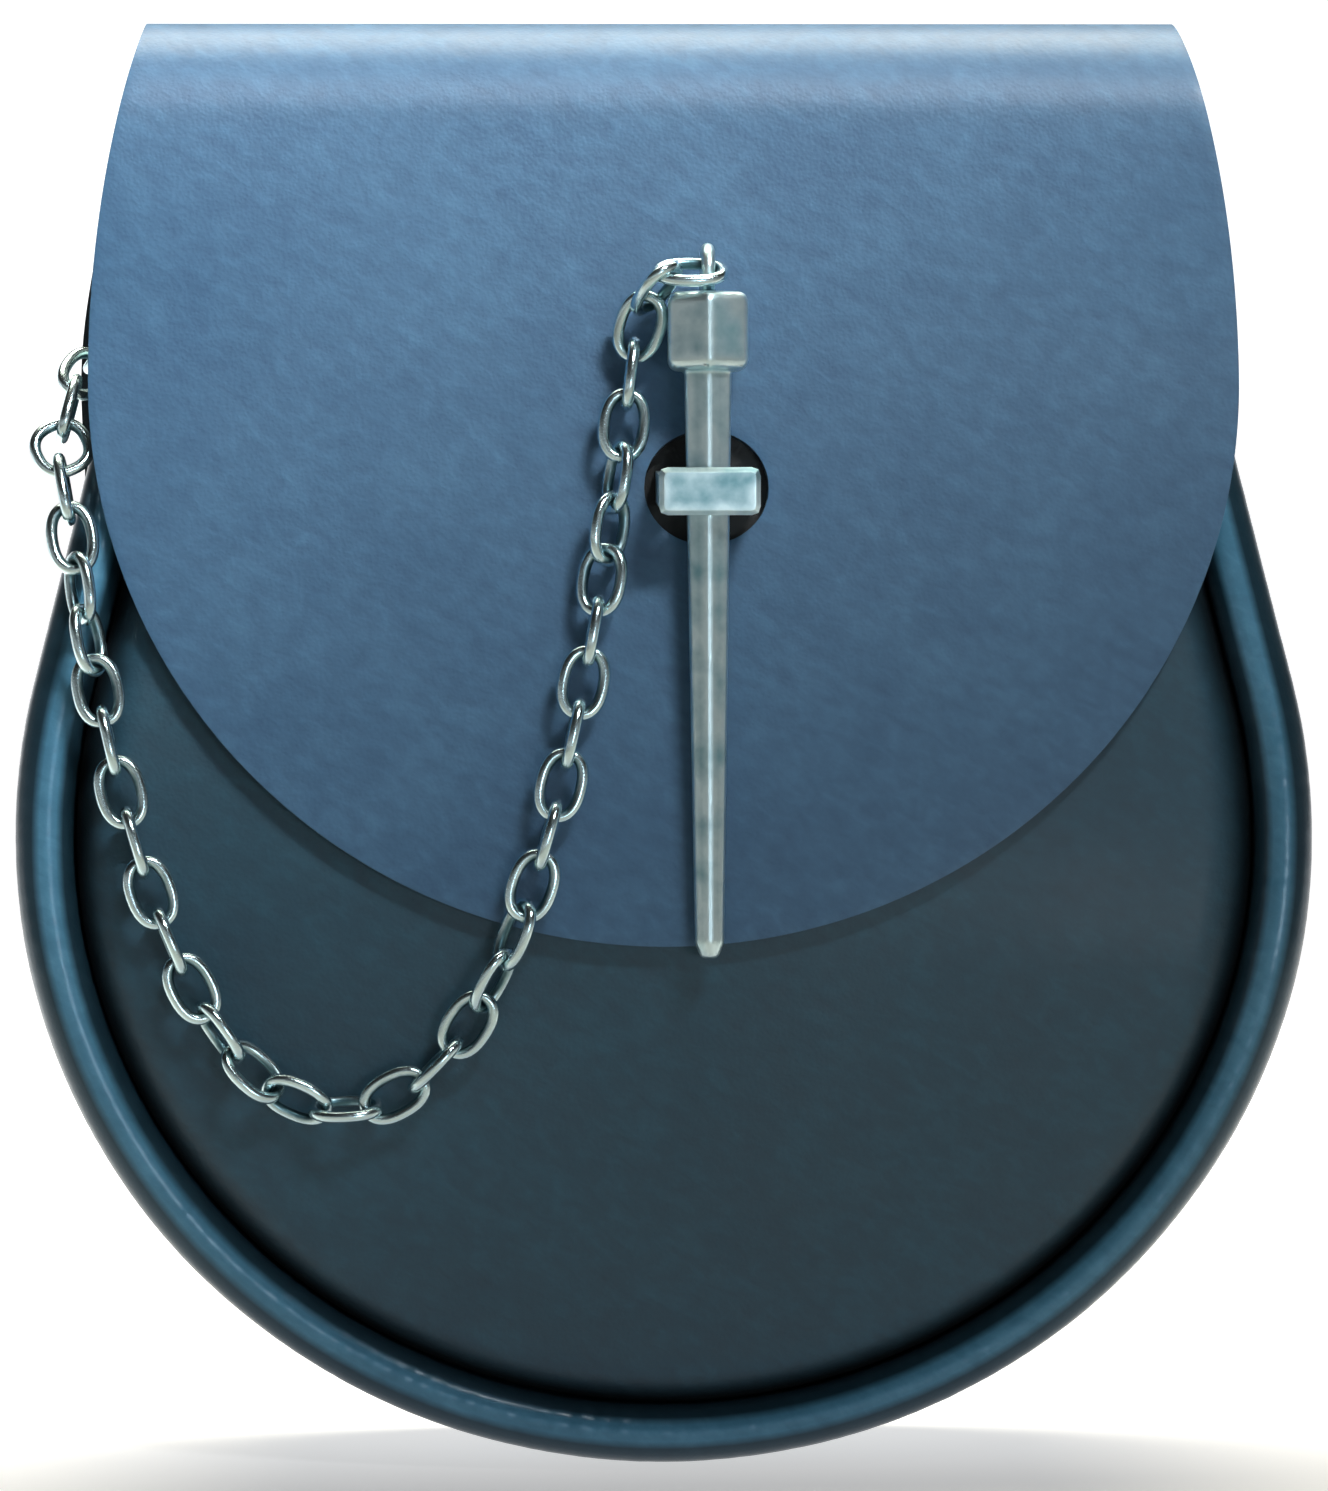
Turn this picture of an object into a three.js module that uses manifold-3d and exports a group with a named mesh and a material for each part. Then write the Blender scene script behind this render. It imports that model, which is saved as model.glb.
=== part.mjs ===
// A sporran pouch: a round leather pouch with a half-oval flap, closed by a pin on a chain.
// Millimetres. +Z is up, +X is to the right of someone facing the pouch, and its front faces -Y.
// Pieces are drawn from the pouch's widest line: height 0 there, and y = 0 at the back's outer face.
// Depth is measured forwards from that face. At the end the whole is placed with the middle of its
// belt tunnel, where it hangs, at the origin.

import * as THREE from "three";
import { mergeVertices } from "three/addons/utils/BufferGeometryUtils.js";
import Module from "manifold-3d";

const wasm = await Module();
wasm.setup();

// Outline of the pouch, seen from the front
const BODY_HALF_WIDTH = 95.2; // middle to the outside of the piping at the widest line
const BODY_DROP = 92.4; // widest line down to the outside of the piping
const POUCH_RISE = 119.2; // widest line up to the top of the fold
const SIDE_LEAN = THREE.MathUtils.degToRad(14); // inward lean of the straight sides
const MOUTH_HEIGHT = 20.2; // top of the fold down to the front panel's top edge
const BACK_INSET = 1.5; // how far the back panel stays inside the piping's outline
const BACK_MARGIN = 1.8; // how far the back panel stands out past the flap's sides

// Depth of the pouch, from the back's outer face forwards
const RIM_DEPTH = 40; // to the middle of the piping, over the lower half
const RIM_LOSS = 16; // how much less it is at the mouth
const RIM_BEND_START = -0.216; // share of the drop where the rim starts to lean back
const RIM_BEND_EASE = 0.2; // how softly that lean starts
const SHOULDER_RISE = 3.2; // front panel's rise out of the groove beside the piping
const SHOULDER_WIDTH = 7.5; // over this distance from the groove
const DOME_RISE = 3; // further rise to the middle of the front panel

// Leather and clearances
const FLAP_LEATHER = 2.4;
const PANEL_LEATHER = 2;
const GUSSET_LEATHER = 1.8;
const LOOP_LEATHER = 2.2;
const PIPING_RADIUS = 4.3;
const SEAM_GAP = 0.3; // between pieces that touch
const FLAP_EASE = 0.5; // between the flap and what it lies on

// Flap
const FLAP_REVEAL = 10.9; // how much narrower each side of the flap is than the pouch
const FLAP_SHOULDER = 52.3; // top of the fold down to the flap's widest line
const FLAP_TIP_DROP = 15.1; // how far its tip hangs below the pouch's widest line
const FOLD_NARROWING = 8.2; // how much narrower each side is at the fold
const FLAP_SETTLE = 35; // length below the fold over which the sides settle on the piping

// Gusset, as insets from the pouch's outline
const FOOT_EDGE_INSET = 2.6; // outer edge of the foot that is sewn to the back
const FOOT_WIDTH = 4.8;
const WALL_WAIST = 1.2; // how far the wall stands outside its foot halfway up

// Closure
const CLOSURE_ACROSS = 5.9; // middle of the staple, the pin and the flap's hole
const CLOSURE_HEIGHT = 51.4;
const HOLE_WIDTH = 18.2;
const HOLE_HEIGHT = 16.6;
const BAR_WIDTH = 14.7;
const BAR_HEIGHT = 6.9;
const BAR_THICKNESS = 2.8;
const BAR_CORNER = 1.4;
const BAR_CHAMFER = 0.7;
const LEG_WIDTH = 2.4;
const LEG_HEIGHT = 4.6;
const PLATE_MARGIN = 2; // how far the plate inside stands out past the bar
const PLATE_THICKNESS = 1.2;
const HEAD_ACROSS_FLATS = 11.5;
const HEAD_LENGTH = 11.3;
const HEAD_CHAMFER = 0.9;
const HEAD_RISE = 17.5; // middle of the staple up to the underside of the head
const SHANK_LENGTH = 85.3;
const SHANK_TOP_ACROSS_FLATS = 6.8;
const SHANK_TIP_ACROSS_FLATS = 4.3;
const EYE_RADIUS = 3; // to the middle of its wire
const EYE_WIRE = 2;

// Chain
const WIRE = 1.6;
const LINK_LENGTH = 11.1;
const LINK_WIDTH = 7.6;
const RING_SIZE = 9.2;
const LINKS_ABOVE_RING = 3; // between the round ring and the anchor
const LINK_PLAY = 0.3; // slack between two links
const LINK_CLEARANCE = 0.4; // between a link and the leather
const CHAIN_LOW_POINT = 40.9; // below the pouch's widest line
const ANCHOR_HEIGHT = 74.2;
const ANCHOR_RADIUS = 3.5;
const ANCHOR_SINK = 0.8; // how deep the anchor's loop sits in its plate
const ANCHOR_PLATE_WIDTH = 5.4;
const ANCHOR_PLATE_LENGTH = 10.4;
const ANCHOR_PLATE_THICKNESS = 1.1;

// The chain leans on the piping on its way from the anchor to the front: rows go downwards.
// height is a share of the pouch's rise, wrap the angle round the piping from straight out
// towards the front in degrees, and stand_off the extra distance as a share of a link's width.
const CHAIN_ROUTE = [
  { height: 0.545, wrap: 4, stand_off: 0.1 },
  { height: 0.461, wrap: 30, stand_off: 0.16 },
  { height: 0.415, wrap: 48, stand_off: 0.08 },
  { height: 0.352, wrap: 70, stand_off: 0 },
  { height: 0.29, wrap: 90, stand_off: 0 },
];

// Each link is turned a quarter from the one before, and the chain carries a slow twist as well:
// extra turn in degrees from the first link to the one named, in even steps between rows.
const CHAIN_TWIST = [
  { link: 2, turn: 33 },
  { link: 3, turn: 8 },
  { link: 4, turn: 0 },
  { link: 5, turn: 0 },
  { link: 9, turn: -90 },
  { link: 14, turn: -90 },
  { link: 17, turn: -180 },
  { link: 19, turn: -180 },
  { link: 24, turn: -262 },
  { link: 30, turn: -270 },
  { link: 33, turn: -360 },
];
const FACING_LINK = 5; // a link whose flat side faces the viewer
const FIRST_LINK_DIP = THREE.MathUtils.degToRad(24); // its front side hangs lower
const FIRST_LINK_LIFT = 0.35; // its place in the eye above the middle, as a share of the eye's radius
const FIRST_HANG_ANGLE = THREE.MathUtils.degToRad(36); // from its left end round towards the front

// Belt loop on the back
const LOOP_HEIGHT = 60; // middle of the tunnel above the widest line
const LOOP_WIDTH = 60;
const BELT_WIDTH = 50;
const TUNNEL_DEPTH = 6;
const LOOP_TAB = 12; // sewn length above and below the tunnel
const LOOP_RAMP = 8;

// Fineness of the faceted surfaces
const SHEET_COLUMNS = 12;
const PANEL_COLUMNS = 14;
const ROUND_STEPS = 34;
const SIDE_STEPS = 5;
const PIPING_SIDES = 10;
const LINK_STEPS = 12;
const WIRE_SIDES = 6;
const WELD = 1e-4;
const UP = new THREE.Vector3(0, 0, 1);
const FRONT = new THREE.Vector3(0, -1, 0);
const RIGHT = new THREE.Vector3(1, 0, 0);

// Sizes that follow from them
const PANEL_TOP = POUCH_RISE - MOUTH_HEIGHT;
const PANEL_INSET = 2 * PIPING_RADIUS + SEAM_GAP;
const PANEL_PEAK = SHOULDER_RISE + DOME_RISE;
const FLAP_HALF_WIDTH = BODY_HALF_WIDTH - FLAP_REVEAL;
const FLAP_WIDEST = POUCH_RISE - FLAP_SHOULDER;
const FLAP_DROP = FLAP_WIDEST + FLAP_TIP_DROP;
const FOLD_SHARE = 1 - FOLD_NARROWING / FLAP_HALF_WIDTH;
const FLAP_CROWN_AXIS = FLAP_SHOULDER / Math.sqrt(1 - FOLD_SHARE ** 2);

function clamp01(value) {
  return Math.min(1, Math.max(0, value));
}

function smoothStep(value) {
  const share = clamp01(value);
  return share * share * (3 - 2 * share);
}

// Half width of the pouch at a height, on an outline drawn inset from the outside of the piping.
function bodyHalfWidth(height, inset) {
  const across = BODY_HALF_WIDTH - inset;
  const down = BODY_DROP - inset;
  if (height < 0) return across * Math.sqrt(Math.max(0, 1 - (height / down) ** 2));
  if (height < across * Math.sin(SIDE_LEAN)) return Math.sqrt(across ** 2 - height ** 2);
  return (across - height * Math.sin(SIDE_LEAN)) / Math.cos(SIDE_LEAN);
}

// Distance of a point from the outside of the piping, inwards, seen from the front.
function edgeDistance(across, height) {
  const side = Math.abs(across);
  const reach = Math.hypot(side, height);
  if (height < 0) {
    const share = Math.hypot(side / BODY_HALF_WIDTH, height / BODY_DROP);
    return (1 - share) * (reach / share);
  }
  if (height < side * Math.tan(SIDE_LEAN)) return BODY_HALF_WIDTH - reach;
  return BODY_HALF_WIDTH - side * Math.cos(SIDE_LEAN) - height * Math.sin(SIDE_LEAN);
}

function flapHalfWidth(height) {
  const above = height - FLAP_WIDEST;
  const axis = above > 0 ? FLAP_CROWN_AXIS : FLAP_DROP;
  return FLAP_HALF_WIDTH * Math.sqrt(Math.max(0, 1 - (above / axis) ** 2));
}

// Depth of the piping's middle: constant below, then leaning back towards the mouth.
function rimDepth(height) {
  const start = RIM_BEND_START * BODY_DROP;
  const share = Math.max(0, (height - start) / (PANEL_TOP - start));
  return RIM_DEPTH - (RIM_LOSS * (1 + RIM_BEND_EASE) * share ** 2) / (share + RIM_BEND_EASE);
}

function panelDepth(across, height) {
  const edge = edgeDistance(across, height);
  const shoulder = clamp01((edge - PANEL_INSET) / SHOULDER_WIDTH);
  const middle = 1 - clamp01(1 - edge / BODY_HALF_WIDTH) ** 2;
  return rimDepth(height) + SHOULDER_RISE * (1 - (1 - shoulder) ** 2) + DOME_RISE * middle;
}

// Outer face of the flap. It lies on the piping at its sides and on the front panel in the middle,
// and is straight across where it comes out of the fold.
function flapDepth(across, height, foldEnd) {
  const settled = smoothStep((foldEnd - height) / FLAP_SETTLE);
  const crown = 1 - (across / FLAP_HALF_WIDTH) ** 2 * settled;
  const lift = PIPING_RADIUS + Math.max(0, PANEL_PEAK - PIPING_RADIUS) * crown;
  return rimDepth(height) + lift + FLAP_EASE + FLAP_LEATHER;
}

// The fold is an arc that runs from the upright back into the sloping flap without a corner.
function solveFold() {
  let radius = (rimDepth(PANEL_TOP) + PANEL_PEAK + FLAP_EASE + FLAP_LEATHER) / 2;
  let slope = 0;
  let end = POUCH_RISE - radius;
  for (let round = 0; round < 40; round++) {
    end = POUCH_RISE - radius * (1 - Math.sin(slope));
    const step = 0.01;
    const drop = flapDepth(0, end - step, end) - flapDepth(0, end + step, end);
    slope = Math.atan2(drop, 2 * step);
    radius = flapDepth(0, end, end) / (1 + Math.cos(slope));
  }
  return { radius, slope, end, start: POUCH_RISE - radius };
}
const fold = solveFold();

// A closed solid from points and triangles, turned so that its faces point outwards.
function solidFrom(points, faces) {
  let volume = 0;
  for (const [a, b, c] of faces) {
    volume += points[a].dot(points[b].clone().cross(points[c]));
  }
  const order = volume < 0 ? [0, 2, 1] : [0, 1, 2];
  const geometry = new THREE.BufferGeometry().setFromPoints(points);
  geometry.setIndex(faces.flatMap((face) => order.map((corner) => face[corner])));
  geometry.computeVertexNormals();
  return geometry;
}

// Triangles that close a flat ring of points whose indices start at first.
function capFaces(ring, first, reversed) {
  const centre = ring.reduce((sum, point) => sum.add(point), new THREE.Vector3());
  centre.divideScalar(ring.length);
  const normal = new THREE.Vector3();
  ring.forEach((point, index) => {
    const next = ring[(index + 1) % ring.length];
    normal.add(point.clone().sub(centre).cross(next.clone().sub(centre)));
  });
  normal.normalize();
  const along = ring[0].clone().sub(centre).normalize();
  const over = normal.clone().cross(along);
  const flat = ring.map((point) => {
    const from = point.clone().sub(centre);
    return new THREE.Vector2(from.dot(along), from.dot(over));
  });
  return THREE.ShapeUtils.triangulateShape(flat, []).map((face) => {
    const turned = THREE.ShapeUtils.area(face.map((corner) => flat[corner])) < 0;
    const ordered = turned === reversed ? face : [face[0], face[2], face[1]];
    return ordered.map((corner) => first + corner);
  });
}

// A skin through rings of points: capped at both ends, or looped back to its first ring.
function loft(rings, looped = false) {
  const points = rings.flat();
  const around = rings[0].length;
  const faces = [];
  const spans = looped ? rings.length : rings.length - 1;
  for (let span = 0; span < spans; span++) {
    const here = span * around;
    const next = ((span + 1) % rings.length) * around;
    for (let side = 0; side < around; side++) {
      const other = (side + 1) % around;
      faces.push([here + side, here + other, next + other]);
      faces.push([here + side, next + other, next + side]);
    }
  }
  if (!looped) {
    faces.push(...capFaces(rings[0], 0, true));
    faces.push(...capFaces(rings.at(-1), points.length - around, false));
  }
  return solidFrom(points, faces);
}

// A wall between two grids of points with the same rows and columns. A row may shrink to one point.
function sheet(outer, inner) {
  const rows = outer.length;
  const columns = outer[0].length;
  const points = [...outer.flat(), ...inner.flat()];
  const faces = [];
  const at = (row, column, side) => side * rows * columns + row * columns + column;
  const add = (a, b, c) => {
    const corners = [points[a], points[b], points[c]];
    const shrunk = corners.some((p, i) => p.distanceTo(corners[(i + 1) % 3]) < WELD);
    if (!shrunk) faces.push([a, b, c]);
  };
  const addQuad = (a, b, c, d) => {
    add(a, b, c);
    add(a, c, d);
  };
  for (let row = 0; row + 1 < rows; row++) {
    for (let column = 0; column + 1 < columns; column++) {
      const corners = [
        [row, column],
        [row, column + 1],
        [row + 1, column + 1],
        [row + 1, column],
      ];
      addQuad(...corners.map(([r, c]) => at(r, c, 0)));
      addQuad(...corners.map(([r, c]) => at(r, c, 1)).reverse());
    }
    const last = columns - 1;
    addQuad(at(row, 0, 1), at(row, 0, 0), at(row + 1, 0, 0), at(row + 1, 0, 1));
    addQuad(at(row, last, 0), at(row, last, 1), at(row + 1, last, 1), at(row + 1, last, 0));
  }
  for (let column = 0; column + 1 < columns; column++) {
    const end = rows - 1;
    addQuad(at(0, column, 1), at(0, column + 1, 1), at(0, column + 1, 0), at(0, column, 0));
    addQuad(at(end, column, 0), at(end, column + 1, 0), at(end, column + 1, 1), at(end, column, 1));
  }
  return solidFrom(points, faces);
}

function toManifold(geometry) {
  const bare = geometry.index ? geometry.toNonIndexed() : geometry.clone();
  bare.deleteAttribute("normal");
  bare.deleteAttribute("uv");
  const merged = mergeVertices(bare, WELD);
  return new wasm.Manifold(
    new wasm.Mesh({
      numProp: 3,
      vertProperties: merged.attributes.position.array,
      triVerts: new Uint32Array(merged.index.array),
    }),
  );
}

function toGeometry(solid) {
  const mesh = solid.getMesh();
  const geometry = new THREE.BufferGeometry();
  geometry.setAttribute("position", new THREE.BufferAttribute(mesh.vertProperties, 3));
  geometry.setIndex(new THREE.BufferAttribute(mesh.triVerts, 1));
  geometry.computeVertexNormals();
  return geometry;
}

function cut(geometry, tools) {
  return toGeometry(tools.reduce((left, tool) => left.subtract(toManifold(tool)), toManifold(geometry)));
}

function join(pieces) {
  return toGeometry(pieces.map(toManifold).reduce((sum, piece) => sum.add(piece)));
}

function point(across, depth, height) {
  return new THREE.Vector3(across, -depth, height);
}

// A box given by its middle and its size across, in depth and in height.
function block(across, depth, height, width, thickness, tall) {
  const geometry = new THREE.BoxGeometry(width, thickness, tall);
  return geometry.translate(across, -depth, height);
}

// Heights from a bottom tip up to a top edge, closer together towards the tip.
function roundedHeights(drop, top, lowerSteps, upperSteps) {
  const heights = [];
  for (let step = 0; step < lowerSteps; step++) {
    heights.push(-drop * Math.cos((step / lowerSteps) * (Math.PI / 2)));
  }
  for (let step = 0; step <= upperSteps; step++) {
    heights.push((top * step) / upperSteps);
  }
  return heights;
}

function columnShares(columns, edgeWeight) {
  return Array.from({ length: columns + 1 }, (_, column) => {
    const even = (2 * column) / columns - 1;
    return even * (1 - edgeWeight) + Math.sin((even * Math.PI) / 2) * edgeWeight;
  });
}

// Back panel: the pouch's outline below, the flap's outline with a small margin above.
function backHalfWidth(height) {
  const body = bodyHalfWidth(height, BACK_INSET);
  if (height <= 0) return body;
  const kept = 1 - smoothStep((height - FLAP_WIDEST) / (fold.start - FLAP_WIDEST));
  const flap = flapHalfWidth(height) + BACK_MARGIN * kept;
  const blend = 4 * smoothStep(height / (FLAP_WIDEST / 2)) * kept;
  return (body + flap + Math.sqrt((body - flap) ** 2 + blend ** 2)) / 2;
}

// Back panel, fold and flap are one sheet. Each row holds its middle line's place and facing.
function makeBackAndFlap() {
  const shares = columnShares(SHEET_COLUMNS, 0);
  const outer = [];
  const inner = [];
  const addRow = (halfWidth, place) => {
    const row = shares.map((share) => place(share * halfWidth));
    outer.push(row.map(({ at }) => at));
    inner.push(row.map(({ at, facing }) => at.clone().addScaledVector(facing, -FLAP_LEATHER)));
  };
  const backward = FRONT.clone().negate();
  for (const height of roundedHeights(BODY_DROP - BACK_INSET, fold.start, 9, 8)) {
    addRow(backHalfWidth(height), (across) => ({ at: point(across, 0, height), facing: backward }));
  }
  const foldSteps = 8;
  for (let step = 1; step <= foldSteps; step++) {
    const angle = ((Math.PI - fold.slope) * step) / foldSteps;
    const height = fold.start + fold.radius * Math.sin(angle);
    const depth = fold.radius * (1 - Math.cos(angle));
    const facing = new THREE.Vector3(0, Math.cos(angle), Math.sin(angle));
    addRow(flapHalfWidth(height), (across) => ({ at: point(across, depth, height), facing }));
  }
  const flapHeights = [];
  const upperSteps = 4;
  const lowerSteps = 12;
  for (let step = 1; step < upperSteps; step++) {
    flapHeights.push(fold.end + ((FLAP_WIDEST - fold.end) * step) / upperSteps);
  }
  for (let step = 0; step <= lowerSteps; step++) {
    flapHeights.push(FLAP_WIDEST - FLAP_DROP * Math.sin((step / lowerSteps) * (Math.PI / 2)));
  }
  for (const height of flapHeights) {
    addRow(flapHalfWidth(height), (across) => {
      const step = 0.01;
      const rise = flapDepth(across, height + step, fold.end) - flapDepth(across, height - step, fold.end);
      const facing = new THREE.Vector3(0, -1, -rise / (2 * step)).normalize();
      return { at: point(across, flapDepth(across, height, fold.end), height), facing };
    });
  }
  const hole = new THREE.Shape();
  hole.absellipse(0, 0, HOLE_WIDTH / 2, HOLE_HEIGHT / 2, 0, 2 * Math.PI);
  const depth = rimDepth(CLOSURE_HEIGHT);
  const plug = new THREE.ExtrudeGeometry(hole, { depth, curveSegments: 12, bevelEnabled: false });
  plug.rotateX(Math.PI / 2).translate(CLOSURE_ACROSS, -depth / 2, CLOSURE_HEIGHT);
  return cut(sheet(outer, inner), [plug]);
}

// Distances that the closure's pieces share
const shankCorner = (acrossFlats) => acrossFlats / 2 / Math.cos(Math.PI / 6);
const barInset = BAR_WIDTH / 2 - LEG_WIDTH / 2;

// The pin's middle line is straight. It clears the flap and the panel all the way down.
function solvePin() {
  const top = CLOSURE_HEIGHT + HEAD_RISE;
  const tip = top - SHANK_LENGTH;
  const surface = (height) => {
    const onFlap = height > -FLAP_TIP_DROP;
    return onFlap ? flapDepth(CLOSURE_ACROSS, height, fold.end) : panelDepth(CLOSURE_ACROSS, height);
  };
  const corner = (height) => {
    if (height >= top) return shankCorner(HEAD_ACROSS_FLATS);
    const share = (height - tip) / SHANK_LENGTH;
    return shankCorner(THREE.MathUtils.lerp(SHANK_TIP_ACROSS_FLATS, SHANK_TOP_ACROSS_FLATS, share));
  };
  const need = (height) => surface(height) + corner(height) + 2 * SEAM_GAP;
  const headDepth = need(top);
  const tipDepth = Math.max(need(tip), need(-FLAP_TIP_DROP + 2 * SEAM_GAP));
  const line = (height) => tipDepth + ((headDepth - tipDepth) * (height - tip)) / SHANK_LENGTH;
  let lift = 0;
  const checks = 40;
  for (let check = 0; check <= checks; check++) {
    const height = tip + ((top + HEAD_LENGTH - tip) * check) / checks;
    lift = Math.max(lift, need(height) - line(height));
  }
  return {
    top,
    tip,
    depthAt: (height) => line(height) + lift,
    tilt: Math.atan2(tipDepth - headDepth, SHANK_LENGTH),
    cornerAt: corner,
  };
}
const pin = solvePin();

function makeStaple() {
  const front = pin.depthAt(CLOSURE_HEIGHT) + pin.cornerAt(CLOSURE_HEIGHT) / Math.cos(pin.tilt);
  const slant = (BAR_HEIGHT / 2) * Math.tan(pin.tilt);
  const barBack = front + slant + SEAM_GAP;
  const plateFront = Math.min(
    ...[-1, 1].flatMap((side) =>
      [-1, 1].map((end) =>
        panelDepth(
          CLOSURE_ACROSS + side * (BAR_WIDTH / 2 + PLATE_MARGIN),
          CLOSURE_HEIGHT + end * (BAR_HEIGHT / 2 + PLATE_MARGIN),
        ),
      ),
    ),
  ) - PANEL_LEATHER - SEAM_GAP;
  const shape = new THREE.Shape();
  const right = BAR_WIDTH / 2 - BAR_CHAMFER;
  const top = BAR_HEIGHT / 2 - BAR_CHAMFER;
  const corner = Math.min(BAR_CORNER - BAR_CHAMFER, top);
  shape.moveTo(-right + corner, -top);
  shape.lineTo(right - corner, -top);
  shape.quadraticCurveTo(right, -top, right, -top + corner);
  shape.lineTo(right, top - corner);
  shape.quadraticCurveTo(right, top, right - corner, top);
  shape.lineTo(-right + corner, top);
  shape.quadraticCurveTo(-right, top, -right, top - corner);
  shape.lineTo(-right, -top + corner);
  shape.quadraticCurveTo(-right, -top, -right + corner, -top);
  const bar = new THREE.ExtrudeGeometry(shape, {
    depth: BAR_THICKNESS - 2 * BAR_CHAMFER,
    bevelThickness: BAR_CHAMFER,
    bevelSize: BAR_CHAMFER,
    bevelSegments: 1,
    curveSegments: 2,
  });
  bar.rotateX(Math.PI / 2);
  bar.translate(CLOSURE_ACROSS, -barBack - BAR_CHAMFER, CLOSURE_HEIGHT);
  const legFrom = plateFront - PLATE_THICKNESS / 2;
  const legTo = barBack + BAR_THICKNESS / 2;
  const legs = [-1, 1].map((side) =>
    block(
      CLOSURE_ACROSS + side * barInset,
      (legFrom + legTo) / 2,
      CLOSURE_HEIGHT,
      LEG_WIDTH,
      legTo - legFrom,
      LEG_HEIGHT,
    ),
  );
  const plate = block(
    CLOSURE_ACROSS,
    plateFront - PLATE_THICKNESS / 2,
    CLOSURE_HEIGHT,
    BAR_WIDTH + 2 * PLATE_MARGIN,
    PLATE_THICKNESS,
    BAR_HEIGHT + 2 * PLATE_MARGIN,
  );
  return join([bar, ...legs, plate]);
}

function makePin() {
  const tipCorner = shankCorner(SHANK_TIP_ACROSS_FLATS);
  const headCorner = shankCorner(HEAD_ACROSS_FLATS);
  const profile = [
    [0, 0],
    [0.62 * tipCorner, 0.16 * tipCorner],
    [0.9 * tipCorner, 0.55 * tipCorner],
    [tipCorner, 1.2 * tipCorner],
    [shankCorner(SHANK_TOP_ACROSS_FLATS), SHANK_LENGTH],
    [headCorner - HEAD_CHAMFER, SHANK_LENGTH],
    [headCorner, SHANK_LENGTH + HEAD_CHAMFER],
    [headCorner, SHANK_LENGTH + HEAD_LENGTH - HEAD_CHAMFER],
    [headCorner - HEAD_CHAMFER, SHANK_LENGTH + HEAD_LENGTH],
    [0, SHANK_LENGTH + HEAD_LENGTH],
  ];
  const rod = new THREE.LatheGeometry(profile.map(([radius, up]) => new THREE.Vector2(radius, up)), 6);
  rod.rotateX(Math.PI / 2);
  const eye = new THREE.TorusGeometry(EYE_RADIUS, EYE_WIRE / 2, 8, 16);
  eye.rotateY(Math.PI / 2).translate(0, 0, eyeRise);
  return join([rod, eye]);
}
const eyeRise = SHANK_LENGTH + HEAD_LENGTH + EYE_RADIUS + 0.1 * EYE_WIRE;

// The pin's own frame: its tip is the origin and its length runs up.
const pinFrame = new THREE.Matrix4()
  .makeRotationX(-pin.tilt)
  .setPosition(point(CLOSURE_ACROSS, pin.depthAt(pin.tip), pin.tip));

function makeFrontPanel() {
  const shares = columnShares(PANEL_COLUMNS, 0.8);
  const outer = [];
  const inner = [];
  for (const height of roundedHeights(BODY_DROP - PANEL_INSET, PANEL_TOP, 10, 8)) {
    const halfWidth = bodyHalfWidth(height, PANEL_INSET);
    const row = shares.map((share) => {
      const across = share * halfWidth;
      return { across, depth: panelDepth(across, height) };
    });
    outer.push(row.map(({ across, depth }) => point(across, depth, height)));
    inner.push(row.map(({ across, depth }) => point(across, depth - PANEL_LEATHER, height)));
  }
  const depth = panelDepth(CLOSURE_ACROSS, CLOSURE_HEIGHT);
  const slots = [-1, 1].map((side) =>
    block(
      CLOSURE_ACROSS + side * barInset,
      depth,
      CLOSURE_HEIGHT,
      LEG_WIDTH + 2 * SEAM_GAP,
      6 * PANEL_LEATHER,
      LEG_HEIGHT + 2 * SEAM_GAP,
    ),
  );
  return cut(sheet(outer, inner), slots);
}

// Stations along the pouch's outline, from the left top round the bottom to the right top.
// A station is an angle on the round part, or a distance up a straight side.
function outlineStations(topHeight) {
  const stations = [];
  const run = (topHeight - BODY_HALF_WIDTH * Math.sin(SIDE_LEAN)) / Math.cos(SIDE_LEAN);
  for (let step = 0; step < SIDE_STEPS; step++) {
    stations.push({ side: -1, angle: SIDE_LEAN, up: run * (1 - step / SIDE_STEPS) });
  }
  for (let step = 0; step <= ROUND_STEPS; step++) {
    const turn = -Math.PI - SIDE_LEAN + ((Math.PI + 2 * SIDE_LEAN) * step) / ROUND_STEPS;
    const side = Math.cos(turn) < 0 ? -1 : 1;
    stations.push({ side, angle: Math.atan2(Math.sin(turn), Math.abs(Math.cos(turn))), up: 0 });
  }
  for (let step = 1; step <= SIDE_STEPS; step++) {
    stations.push({ side: 1, angle: SIDE_LEAN, up: (run * step) / SIDE_STEPS });
  }
  return stations;
}

// Place of a station on an outline that is inset from the outside of the piping.
function outlinePlace({ side, angle, up }, inset) {
  const across = (BODY_HALF_WIDTH - inset) * Math.cos(angle) - up * Math.sin(angle);
  const down = angle < 0 ? BODY_DROP - inset : BODY_HALF_WIDTH - inset;
  return { across: side * across, height: down * Math.sin(angle) + up * Math.cos(angle) };
}

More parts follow.
